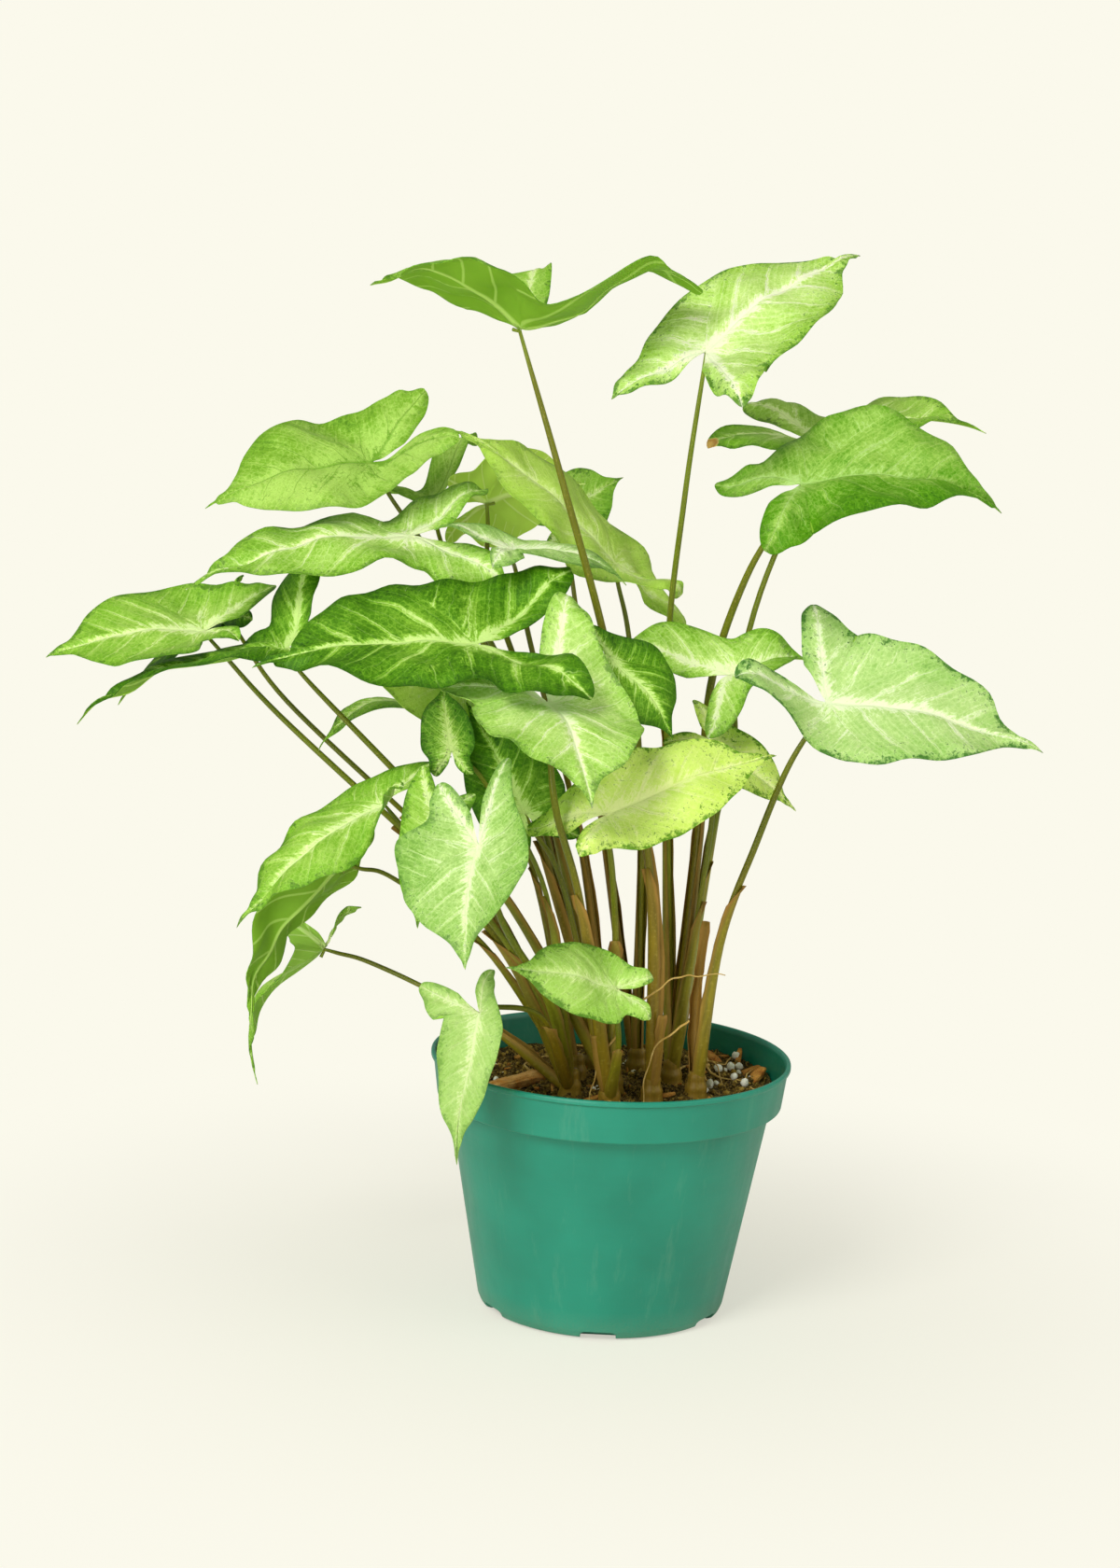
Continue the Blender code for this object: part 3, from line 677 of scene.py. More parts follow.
def trough(path, run, radii, opening, thickness, flare):
    """A closed shell: a thin open sheath carried along a path. Its section is an arc that leaves
    this opening, in radians, on each side of the top, and its margins turn out by the flare. Also
    returns where its points lie on the stalk, whose run is given, and how near to a margin."""
    place = np.linspace(-1, 1, SHEATH_COLUMNS)
    angle = -math.pi / 2 + place * (math.pi - opening[:, None])
    reach = radii[:, None] + flare * np.abs(place) ** 5
    wall = thickness * (1 - 0.7 * np.abs(place) ** 3)
    outer = carried(path, reach * np.cos(angle), reach * np.sin(angle))
    inner = carried(path, (reach - wall) * np.cos(angle), (reach - wall) * np.sin(angle))
    loop = np.concatenate([outer, inner[:, ::-1]], axis=1)
    rows, columns = loop.shape[:2]
    near = np.arange(SHEATH_COLUMNS - 1)
    far = columns - 1 - near
    last = (rows - 1) * columns
    first_cap = np.stack([near + 1, near, far, far - 1], 1)
    last_cap = first_cap[:, ::-1] + last
    faces = [np.vstack([grid_faces(rows, columns, True), first_cap, last_cap])]
    turn = np.tile(np.linspace(0, 2 * math.pi, columns), rows)
    margin = np.concatenate([np.abs(place), np.abs(place[::-1])])
    return loop.reshape(-1, 3), faces, on_stalk(turn, np.repeat(run, columns)), np.tile(margin, rows)


def turned(profile, sides):
    """A closed shell: a profile of (radius, height) from axis to axis, turned about Z."""
    radius, height = np.array(profile[1:-1], float).T
    angle = circle(sides)
    ring = np.stack([np.cos(angle), np.sin(angle)], -1)
    level = np.broadcast_to(height[:, None, None], (len(height), sides, 1))
    body = np.concatenate([radius[:, None, None] * ring, level], -1).reshape(-1, 3)
    ends = [(0, 0, profile[0][1]), (0, 0, profile[-1][1])]
    return np.vstack([body, ends]), capped(len(height), sides)


def rounded(profile, fillet, steps=4):
    """A profile whose inner corners are replaced by small arcs: between two points this far from
    the corner, or less where a side is short, a curve bends once towards it. A further point on
    each long side keeps the shading of that side flat."""
    corners = np.array(profile, float)
    made = [corners[:1]]
    share = np.linspace(0, 1, steps)[:, None]
    for before, corner, after in zip(corners, corners[1:], corners[2:]):
        sides = [before - corner, after - corner]
        cuts = [min(fillet, 0.3 * np.linalg.norm(side)) for side in sides]
        start, end = (corner + cut * unit(side) for cut, side in zip(cuts, sides))
        outer = [corner + 1.5 * cut * unit(side) for cut, side in zip(cuts, sides)]
        arc = (1 - share) ** 2 * start + 2 * share * (1 - share) * corner + share**2 * end
        made += [outer[0][None], arc, outer[1][None]]
    made.append(corners[-1:])
    return np.vstack(made)


def ball(levels):
    """Points and faces of a round grain: an icosahedron whose faces are cut in four this many
    times and whose points are pushed out to a sphere of radius 1."""
    golden = (1 + math.sqrt(5)) / 2
    base = [(-1, golden, 0), (1, golden, 0), (-1, -golden, 0), (1, -golden, 0)]
    points = np.array(base + [p[2:] + p[:2] for p in base] + [p[1:] + p[:1] for p in base], float)
    near = np.linalg.norm(points[:, None] - points[None], axis=-1) < 2.1
    index = np.arange(len(points))
    a, b, c = (grid.ravel() for grid in np.meshgrid(index, index, index, indexing="ij"))
    kept = (a < b) & (b < c) & near[a, b] & near[b, c] & near[a, c]
    faces = np.stack([a, b, c], 1)[kept]
    one, two, three = (points[faces[:, k]] for k in range(3))
    inward = (np.cross(two - one, three - one) * (one + two + three)).sum(1) < 0
    faces[inward] = faces[inward][:, ::-1]
    for _ in range(levels):
        edges = np.sort(faces[:, [[0, 1], [1, 2], [2, 0]]].reshape(-1, 2), axis=1)
        unique, place = np.unique(edges, axis=0, return_inverse=True)
        halves = place.reshape(-1, 3) + len(points)
        points = np.vstack([points, points[unique].mean(1)])
        a, b, c = faces.T
        ab, bc, ca = halves.T
        faces = np.vstack([np.stack(f, 1) for f in ((a, ab, ca), (ab, b, bc), (ca, bc, c), (ab, bc, ca))])
    return points / np.linalg.norm(points, axis=1)[:, None], faces


def scattered(places, sizes, levels, roughness, seed):
    """Grains at the places: each a ball, stretched to its three sizes, with every point pushed in
    or out at random and the whole turned at random. Returns all points and faces at once."""
    draw = np.random.default_rng(seed)
    base, faces = ball(levels)
    count = len(places)
    push = 1 + roughness * draw.uniform(-1, 1, (count, len(base), 1))
    grains = base[None] * push * np.asarray(sizes)[:, None] / 2
    turn = draw.normal(size=(count, 4))
    w, x, y, z = (turn / np.linalg.norm(turn, axis=1)[:, None]).T
    rows = [
        [1 - 2 * (y * y + z * z), 2 * (x * y - z * w), 2 * (x * z + y * w)],
        [2 * (x * y + z * w), 1 - 2 * (x * x + z * z), 2 * (y * z - x * w)],
        [2 * (x * z - y * w), 2 * (y * z + x * w), 1 - 2 * (x * x + y * y)],
    ]
    matrix = np.moveaxis(np.array(rows), 2, 0)
    points = np.einsum("nij,nkj->nki", matrix, grains) + np.asarray(places)[:, None]
    index = faces[None] + len(base) * np.arange(count)[:, None, None]
    return points.reshape(-1, 3), [index.reshape(-1, 3)]


class Blade:
    """A leaf's mid surface: two flat halves that meet in the midrib, bent by its arch, the droop
    and waves of its margins and the pull of each back lobe to its own tip."""

    def __init__(self, leaf, number):
        self.leaf = leaf
        self.number = number
        self.origin = np.array(leaf.junction, float)
        along = np.array(leaf.tip, float) - self.origin
        self.length = np.linalg.norm(along)
        self.along = along / self.length
        level = unit(np.array([0, 0, 1.0]) - self.along[2] * self.along)
        sideways = np.cross(self.along, level)
        turn = math.radians(leaf.roll)
        self.face = level * math.cos(turn) + sideways * math.sin(turn)
        self.sideways = np.cross(self.along, self.face)

    def lobe_target(self, side):
        """Where this half's lobe ends in space, or None for a flat lobe."""
        target = self.leaf.right if side > 0 else self.leaf.left
        return None if target is None else np.array(target, float)

    def half(self, side):
        """(sideways direction, lobe tip in the half's own plane) for the half at this side."""
        rise = math.radians(self.leaf.fold)
        out = side * self.sideways * math.cos(rise) + self.face * math.sin(rise)
        target = self.lobe_target(side)
        if target is None:
            return out, self.length * np.array(FLAT_LOBE)
        lobe = target - self.origin
        reach = np.linalg.norm(lobe)
        spread = max(lobe @ out, LEAST_SPREAD * reach)
        back = lobe @ self.along
        return out, np.array([back, spread]) * reach / math.hypot(back, spread)

    def outline(self, side):
        """One half's edge from the tip towards the junction, as lengths along and across the
        midrib, and the place of each point along the whole edge."""
        lobe = self.half(side)[1]
        outward_way = np.array([lobe[1], -lobe[0]])
        body = np.array(BODY_EDGE) * (self.length, self.leaf.width)
        wing = np.array([along * lobe + across * outward_way for along, across in LOBE_EDGE])
        edge = smooth_path(np.vstack([body, wing]), EDGE_STEPS)
        drawn = np.clip(edge[:, 0] / self.length / TIP_START - 1, 0, None) / (1 / TIP_START - 1)
        edge = edge * np.stack([1 + TIP_LENGTH * drawn**2, 1 - TIP_NARROWING * eased(2 * drawn)], -1)
        place = np.linspace(0, 1, len(edge))
        kept = place <= EDGE_KEPT + 1e-6
        return edge[kept], place[kept]

    def lift(self, along, across):
        """Height above the half's plane: an arch, which is a parabola over the length whose start
        is softened, less the droop, which grows with the square of the distance to the midrib."""
        share = along / self.length
        bend = np.sqrt(share**2 + SOFTENING) - math.sqrt(SOFTENING)
        raised = (share + bend) / (1 + math.sqrt(1 + SOFTENING) - math.sqrt(SOFTENING))
        drooping = self.leaf.droop * (across / self.leaf.width) ** 2
        return 4 * self.leaf.arch * raised * (1 - raised) - drooping

    def points(self, side, flat, edge_place, ring, relief):
        """Points in space of one half, from flat places, places along the edge, ring shares and
        the height of the relief. The height is the lift, a sine wave along the edge that grows with
        the square of the ring, and a cubic swelling of the lobe. The shift that brings the lobe's
        tip to its own place in space is eased in along the lobe."""
        out, lobe = self.half(side)
        along, across = flat[..., 0], flat[..., 1]
        planar = self.origin + lobe[0] * self.along + lobe[1] * out + self.lift(*lobe) * self.face
        target = self.lobe_target(side)
        shift = np.zeros(3) if target is None else target - planar
        share = np.clip((flat @ lobe) / (lobe @ lobe), 0, 1)
        pull = eased(share)
        swell = 6.75 * self.leaf.rise * share**2 * (1 - share)
        phase = GOLDEN_ANGLE * self.number + side
        wave = np.sin(2 * math.pi * WAVES * edge_place + phase) * np.sin(math.pi * edge_place)
        height = self.lift(along, across) + self.leaf.wave * wave * ring**2 + swell + relief
        return (
            self.origin
            + along[..., None] * self.along
            + across[..., None] * out
            + height[..., None] * self.face
            + pull[..., None] * shift
        )

    def veins(self, side, flat):
        """The pattern of one half's veins. Side veins leave the midrib at even spaces, lean
        towards the tip and bend more near the margin; behind the first of them, veins leave the
        lobe's own rib in the same way. Returns both counts of veins up to each point, and the
        distances to the midrib and to the lobe's rib as shares of those ribs' widths."""
        lobe = self.half(side)[1]
        reach = np.linalg.norm(lobe)
        along, across = flat[..., 0], flat[..., 1]
        outwards = across / self.leaf.width
        lean = VEIN_LEAN * across * (1 + VEIN_BEND * outwards)
        shift = VEIN_OFFSET * (0.5 + 0.5 * side)
        body = (along - lean) * SIDE_VEINS / self.length + shift * eased(along / self.length * 4)
        down = flat @ lobe / reach
        away = np.abs(flat[..., 0] * lobe[1] - flat[..., 1] * lobe[0]) / reach
        back = (down - VEIN_LEAN * away * (1 + VEIN_BEND * away / self.leaf.width)) * LOBE_VEINS / reach
        midrib = np.where(along > -1, across / (1.1 - np.clip(along / self.length, 0, 1)), FAR_OFF)
        lobe_rib = np.where(down > -1, away / (1.0 - 0.8 * np.clip(down / reach, 0, 1)), FAR_OFF)
        return body, back, midrib, lobe_rib


def away_from(flat, edge):
    """Distance of each flat point to the nearest piece of the edge."""
    start, step = edge[:-1], np.diff(edge, axis=0)
    gap = flat[..., None, :] - start
    share = np.clip((gap * step).sum(-1) / np.maximum((step * step).sum(-1), 1e-9), 0, 1)
    return np.linalg.norm(gap - share[..., None] * step, axis=-1).min(-1)


def sharpen_margin(mesh):
    """Marks the edges with one face as sharp, so that the skin's shading stays even up to them."""
    sides = np.zeros(len(mesh.loops), np.int32)
    mesh.loops.foreach_get("edge_index", sides)
    alone = np.bincount(sides, minlength=len(mesh.edges)) == 1
    kept = mesh.attributes.new("sharp_edge", "BOOLEAN", "EDGE")
    kept.data.foreach_set("value", alone)


def edge_noise(place, row, size, seed, count):
    """Smooth noise along an edge, another one for each row. The edge counts as ten long."""
    return ripples(np.stack([place * 10, np.full(len(place), row)], -1), size, seed, count)


def half_grids(name, blade, side, settings):
    """One half of a blade, ring by ring from the junction to the margin. Its height swells between
    the veins as a power of a sine, sinks along the ribs as a bell curve, bends in broad soft dents
    and has fine waves near the margin. Returns its points, its vein counts with the distance to
    the margin, and its distances to the ribs with how pale it is."""
    number = blade.number
    ring = np.linspace(0, 1, RINGS + 1)[1:, None]
    size = min(1.0, blade.length / FULL_SIZE)
    edge, place = blade.outline(side)
    smooth_tip = eased(place * SMOOTH_PART)
    uneven = edge_noise(place, number + side, 1.0, EDGE_SEED, 16)
    edge = edge * (1 + EDGE_UNEVENNESS * size**2 * uneven * smooth_tip)[:, None]
    flat = edge[None] * ring[..., None]
    body, back, midrib, lobe_rib = blade.veins(side, flat)
    margin = away_from(flat, edge)
    count = np.where(body > 0, body, back)
    swell = np.abs(np.sin(math.pi * count)) ** FIELD_FULLNESS
    swell = swell * eased(margin / MARGIN_FADE) * eased(midrib / RIB_FADE)
    groove = np.exp(-((midrib / MIDRIB_GROOVE) ** 2)) + 0.8 * np.exp(-((lobe_rib / LOBE_GROOVE) ** 2))
    frill = edge_noise(place, number + 3 * side, 1.1, FRILL_SEED, 12)
    frill = frill * eased(1 - margin / FRILL_WIDTH) * smooth_tip
    relief = settings.quilting / MM * (swell - 0.5 * groove)
    relief = relief + size**3 * settings.frill / MM * frill * ring
    dents = ripples(flat, DENT_SIZE, DENT_SEED + number) * eased(ring / 0.4)
    relief = relief + size * settings.rumple / MM * dents
    near_rib = np.exp(-np.minimum(midrib, lobe_rib) / RIB_REACH)
    pale = RING_PALENESS * (1 - ring**1.6) + RIB_PALENESS * near_rib
    if PALE_HALF.get(name) == side:
        pale = pale + PALE_HALF_GAIN * eased(midrib / PALE_HALF_REACH)
    points = blade.points(side, flat, place, ring, relief)
    return points, np.stack([body, back, margin], -1), np.stack([midrib, lobe_rib, pale], -1)


def make_leaf(name, leaf, number, settings, skins):
    """One blade: rings round the junction, each a smaller copy of the edge, bent as Blade says.
    Solidify gives it its thickness and puts the underside's skin on its lower face."""
    blade = Blade(leaf, number)
    left, right = (half_grids(name, blade, side, settings) for side in (-1, 1))
    points, veins, ribs = (np.concatenate([a[:, :0:-1], b], 1) for a, b in zip(left, right))
    rows, columns = points.shape[:2]
    around = 1 + np.arange(columns - 1)
    fan = np.stack([np.zeros_like(around), around, around + 1], 1)
    quads = (grid_faces(rows, columns, False) + 1)[:, [0, 3, 2, 1]]
    points = np.vstack([blade.origin, points.reshape(-1, 3)])
    corner = points[fan]
    facing = np.cross(corner[:, 1] - corner[:, 0], corner[:, 2] - corner[:, 0]).sum(0) @ blade.face
    if facing < 0:
        fan, quads = fan[:, ::-1], quads[:, ::-1]
    made = new_piece("blade_" + name, points, fan.tolist() + quads.tolist(), skins, "leaf_" + name)
    store(made.data, "veins", np.vstack([(0, 0, FAR_OFF), veins.reshape(-1, 3)]))
    store(made.data, "ribs", np.vstack([(0, 0, 1.0), ribs.reshape(-1, 3)]))
    sharpen_margin(made.data)
    skin = made.modifiers.new("thickness", "SOLIDIFY")
    skin.thickness = settings.thickness
    skin.offset = 0
    skin.material_offset = 1
    skin.material_offset_rim = 0
    return made


def petiole_path(leaf, blade):
    """From inside the stem's core, past the leaf's own points, to a short keel under the blade."""
    x, y = STEMS[leaf.stem]
    under = blade.origin - (TIP_RADIUS + SEAT) * blade.face
    approach = under - APPROACH * unit(under - np.array(leaf.via[-1], float))
    route = smooth_path([(x, y, SOIL_TOP + 2), *leaf.via, tuple(approach)], ROUTE_STEPS)
    return np.vstack([route, under, under + KEEL * blade.along])


def add_petiole(shells, name, leaf, number):
    """One petiole: a bar of the leaf's girth with a swelling that eases out above its foot, a cubic
    taper to its fine end, and a channel along its top that is a bell curve of the turn. Round its
    lower half lies a thin sheath. Its opening grows evenly and then fast near its end, its margins
    flare by noise and turn to paper. Where BROWN_OF doesn't say how brown the petiole is, that
    steps by the golden section from leaf to leaf."""
    path = petiole_path(leaf, Blade(leaf, number))
    share, length = share_along(path)
    brown = BROWN_OF.get(name, (number * 0.618) % 1)
    angle = circle(BAR_SIDES)
    thick = leaf.girth + FOOT_SWELLING * eased((SHEATH_END - share) / 0.4)
    radius = thick - (leaf.girth - TIP_RADIUS) * np.clip((share - SHEATH_END) / 0.48, 0, 1) ** 3
    channel = 1 - CHANNEL_DEPTH * np.exp(-(((angle - math.pi / 2) / CHANNEL_WIDTH) ** 2))
    reach = radius[:, None] * channel[None]
    around = on_stalk(np.tile(angle, len(path)), np.repeat(share * length, BAR_SIDES))
    around = np.vstack([around, (0, 0, 0), (0, 0, length)])
    grown = np.concatenate([np.repeat(share, BAR_SIDES), [0, 1]])
    points, faces = bar(path, reach * np.cos(angle), reach * np.sin(angle))
    shells.add(points, faces, around=around, grown=grown, brown=brown, papery=0.0)
    low = path[share < SHEATH_TOP]
    up = share[share < SHEATH_TOP] / SHEATH_TOP
    wide = leaf.girth + 0.45 + (SHEATH_RADIUS - leaf.girth - 0.2) * eased(1 - up)
    opening = 0.25 + 1.0 * up + 1.5 * eased((up - 0.82) / 0.18)
    wavy = 0.4 * ripples(low, 14, SHEATH_SEED + number, 8)[:, None]
    flare = (0.5 + wavy) * eased(up[:, None] / 0.3) + 0.9 * eased((up[:, None] - 0.75) / 0.2)
    run = up * length * SHEATH_END
    points, faces, around, margin = trough(low, run, wide, opening, SHEATH_WALL, flare)
    columns = len(points) // len(low)
    papery = eased((margin - 0.55) / 0.4) * 0.8 + 0.5 * np.repeat(eased((up - 0.7) / 0.3), columns)
    grown = np.repeat(up * SHEATH_END, columns)
    shells.add(points, faces, around=around, grown=grown, brown=brown, papery=papery)


def add_old_sheath(shells, path, number):
    """A torn, dried end of an old sheath: a trough that narrows evenly and opens wide towards its
    end, with margins flared by noise."""
    share, length = share_along(path)
    opening = 0.9 + 0.9 * eased((share - 0.6) / 0.4)
    wavy = 0.7 * ripples(path, 9, OLD_SHEATH_SEED + number, 8)[:, None]
    flare = (0.8 + wavy) * eased(share[:, None] / 0.4)
    run = share * length
    points, faces, around, margin = trough(path, run, 3.0 - 1.6 * share, opening, OLD_SHEATH_WALL, flare)
    grown = np.repeat(share * 0.2, len(points) // len(path))
    shells.add(points, faces, around=around, grown=grown, brown=1.0, papery=0.35 + 0.65 * margin)


def add_core(shells, x, y):
    """The short stem: a bar that narrows evenly near its top, with three faint lobes round it and
    swollen rings where old leaves stood, which are a cosine of the height."""
    height = np.linspace(SOIL_TOP - CORE_DEPTH, SOIL_TOP + CORE_RISE, CORE_STEPS)
    path = np.stack([np.full(CORE_STEPS, x), np.full(CORE_STEPS, y), height], -1).astype(float)
    radius = CORE_RADIUS + (CORE_TIP_RADIUS - CORE_RADIUS) * np.clip((height - SOIL_TOP - 3) / 9, 0, 1)
    radius = radius + 0.3 * np.cos((height - SOIL_TOP) * 2 * math.pi / CORE_RING_GAP) - 0.3
    angle = circle(CORE_STEPS)
    reach = radius[:, None] * (1 + 0.03 * np.cos(3 * angle + x))[None]
    points, faces = bar(path, reach * np.cos(angle), reach * np.sin(angle))
    turn = np.concatenate([np.tile(angle, CORE_STEPS), [0, 0]])
    shells.add(points, faces, around=on_stalk(turn, points[:, 2]), grown=0.0, brown=0.9, papery=0.15)


def make_stem(key, skin):
    """One leafy stem with its petioles, sheaths and dried stubs, as one piece."""
    shells = Shells()
    x, y = STEMS[key]
    add_core(shells, x, y)
    for number, (name, leaf) in enumerate(LEAVES.items()):
        if leaf.stem == key:
            add_petiole(shells, name, leaf, number)
    for number, (owner, (low, high)) in enumerate(OLD_SHEATHS):
        if owner == key:
            add_old_sheath(shells, smooth_path([(x, y, SOIL_TOP + 3), low, high], 10), number)
    return shells.piece("stalks_" + key, [skin], "stem_" + key)


def inside_profile():
    """The pot's inner surface, (radius, height) from its floor up to the lip."""
    return [
        (BASE_RADIUS - CORNER - 0.5, FLOOR),
        (BASE_RADIUS - WALL, CORNER + 1),
        (SHOULDER_RADIUS - WALL, BAND_FOOT + WALL - 1),
        (BAND_FOOT_RADIUS - WALL, BAND_FOOT + WALL),
        (RIM_RADIUS - LIP - WALL, POT_HEIGHT - 2),
    ]


def make_pot(plastic):
    """The pot: a profile turned about its axis, with rounded corners, a hollow under the base, a
    step below the band and a rolled lip; six drain slots are cut through its bottom corner."""
    outside = [
        (0, BASE_HOLLOW),
        (BASE_RADIUS - 3 * CORNER, BASE_HOLLOW),
        (BASE_RADIUS - 2.5 * CORNER, 0),
        (BASE_RADIUS - CORNER, 0),
        (BASE_RADIUS - 0.3 * CORNER, 0.3 * CORNER),
        (BASE_RADIUS, CORNER),
        (SHOULDER_RADIUS, BAND_FOOT - 1),
        (SHOULDER_RADIUS + 1, BAND_FOOT),
        (BAND_FOOT_RADIUS, BAND_FOOT),
        (RIM_RADIUS - LIP, POT_HEIGHT - 2 * BEAD),
        (RIM_RADIUS, POT_HEIGHT - 1.7 * BEAD),
        (RIM_RADIUS, POT_HEIGHT - 0.4 * BEAD),
        (RIM_RADIUS - 0.4 * BEAD, POT_HEIGHT),
        (RIM_RADIUS - LIP - 0.6, POT_HEIGHT),
    ]
    profile = rounded(outside + inside_profile()[::-1] + [(0, FLOOR)], FILLET)
    pot = Shells().add(*turned(profile, POT_SIDES)).piece("nursery_pot", [plastic], "pot")
    cutters = Shells()
    across, up = squarish(circle(DRAIN_SIDES), DRAIN_ROUNDNESS)
    reach = np.linspace(BASE_RADIUS - DRAIN_INWARDS, BASE_RADIUS + DRAIN_PAST, 3)
    across = np.broadcast_to(across * DRAIN_WIDTH / 2, (len(reach), DRAIN_SIDES))
    up = np.broadcast_to(up * DRAIN_HEIGHT, across.shape)
    for i in range(DRAIN_SLOTS):
        angle = 2 * math.pi * (i + 0.5) / DRAIN_SLOTS
        way = np.array([math.cos(angle), math.sin(angle), 0])
        cutters.add(*bar(reach[:, None] * way, across, up))
    cut = cutters.piece("drain_cutters", [plastic])
    boolean = pot.modifiers.new("drain slots", "BOOLEAN")
    boolean.operation = "DIFFERENCE"
    boolean.object = cut
    boolean.solver = "EXACT"
    graph = bpy.context.evaluated_depsgraph_get()
    mesh = bpy.data.meshes.new_from_object(pot.evaluated_get(graph))
    pot.modifiers.clear()
    pot.data = mesh
    bpy.data.objects.remove(cut)
    return pot


def soil_height(x, y):
    """The soil's surface: level, with a low mound in the middle and a heap at the right and the
    back, both bell curves, and soft lumps that are products of sines."""
    lumps = np.sin(0.11 * x + 1.3) * np.sin(0.13 * y + 0.4) + 0.5 * np.sin(0.27 * x - 0.21 * y)
    mound = MOUND_HEIGHT * np.exp(-(x**2 + y**2) / MOUND_RADIUS**2)
    apart = (x - HEAP_PLACE[0]) ** 2 + (y - HEAP_PLACE[1]) ** 2
    heap = HEAP_HEIGHT * np.exp(-apart / HEAP_RADIUS**2)
    return SOIL_TOP - 2 + mound + SOIL_BUMP * lumps + heap


def make_soil(peat):
    """The potting mix: a solid turned about Z whose top follows the soil's height, roughened by
    noise of three sizes."""
    wall = [
        (0, FLOOR + 0.3),
        (BASE_RADIUS - CORNER - 1.2, FLOOR + 0.3),
        (BASE_RADIUS - WALL - SOIL_GAP, CORNER + 1.4),
        (SHOULDER_RADIUS - WALL - SOIL_GAP, BAND_FOOT + 0.8),
        (BAND_FOOT_RADIUS - WALL - 0.6, BAND_FOOT + WALL + 0.6),
    ]
    rings = [(radius, SOIL_TOP) for radius in np.linspace(SOIL_RADIUS, 0, SOIL_RINGS + 1)]
    points, faces = turned(wall + rings, SOIL_SIDES)
    top = points[:, 2] > SOIL_TOP - 0.1
    flat = points[top, :2]
    rough = 0.7 * ripples(flat, 9, SOIL_SEED) + 0.4 * ripples(flat, 4, SOIL_SEED + 1)
    rough = rough + 0.22 * ripples(flat, 2.2, SOIL_SEED + 2, 40)
    points[top, 2] = soil_height(*flat.T) + rough
    return Shells().add(points, faces).piece("potting_mix", [peat], "soil")


def on_soil(draw, count):
    """Even random places over the soil's disc."""
    radius = np.sqrt(draw.uniform(CRUMBS_FROM**2, CRUMBS_TO**2, count))
    angle = draw.uniform(0, 2 * math.pi, count)
    x, y = radius * np.cos(angle), radius * np.sin(angle)
    return np.stack([x, y, soil_height(x, y)], -1)


def make_crumbs(settings, stuffs):
    """Crumbs on the soil: grains of peat, a third as many of fibre, few of them coarse and many
    fine, then small strips of bark and the larger chips."""
    draw = np.random.default_rng(CRUMB_SEED)
    shells = Shells()
    for slot, count in enumerate((settings.crumbs, settings.crumbs // 3)):
        places = on_soil(draw, count)
        size = 0.8 + 2.4 * draw.uniform(0, 1, count) ** 3
        shape = draw.uniform(0.6, 1.3, (count, 3))
        places[:, 2] += 0.25 * size
        shells.add(*scattered(places, size[:, None] * shape, 0, 0.3, CRUMB_SEED + 1 + slot), slot)
    count = settings.crumbs // 50
    places = on_soil(draw, count)
    sides = ((3, 8), (1.0, 2.4), (0.7, 1.4))
    strip = np.stack([draw.uniform(low, high, count) for low, high in sides], -1)
    places[:, 2] += 0.6
    shells.add(*scattered(places, strip, 1, 0.18, CRUMB_SEED + 6), 2)
    for number, (x, y, length, width, turn, tilt) in enumerate(CHIPS):
        place = (x, y, soil_height(x, y) + 1.5)
        shells.add(*chip(place, (length, width, 0.5 * width), turn, tilt, CHIP_SEED + 2 * number), 2)
    return shells.piece("crumbs_and_chips", stuffs)


def make_perlite(settings, white):
    """Grains of perlite: rough balls of 1.2 to 4.6 mm, the large ones where they show in front."""
    draw = np.random.default_rng(PERLITE_SEED)
    x, y = np.array(PERLITE_PLACES, float).T
    set_places = np.stack([x, y, soil_height(x, y)], -1)
    places = np.vstack([set_places, on_soil(draw, settings.perlite)])
    large = draw.uniform(3.6, 4.6, len(x))
    size = np.concatenate([large, 1.2 + 2.0 * draw.uniform(0, 1, settings.perlite) ** 2])
    places[:, 2] += 0.25 * size
    places[: len(x), 2] += 1.4
    shape = size[:, None] * draw.uniform(0.75, 1.15, (len(places), 3))
    return Shells().add(*scattered(places, shape, 1, 0.14, PERLITE_SEED + 1)).piece("perlite", [white])


def make_roots(skin):
    """Thin roots that curl over the soil and dried strands in the air: round or flat bars along
    smooth paths, finer towards their ends."""
    shells = Shells()
    draw = np.random.default_rng(ROOT_SEED)
    turn = circle(10)
    lying = [[(x, y, soil_height(x, y) + draw.uniform(0.8, 3.5)) for x, y in root] for root in ROOTS]
    for path, radius, flat in [(path, 0.55, 1.0) for path in lying] + list(STRANDS):
        way = smooth_path(path, 8)
        way = way + 0.6 * np.stack([ripples(way, 11, ROOT_SEED + 1 + k, 8) for k in range(3)], -1)
        reach = radius * (1 - 0.55 * share_along(way)[0])
        shells.add(*bar(way, reach[:, None] * np.cos(turn), flat * reach[:, None] * np.sin(turn)))
    return shells.piece("roots", [skin])


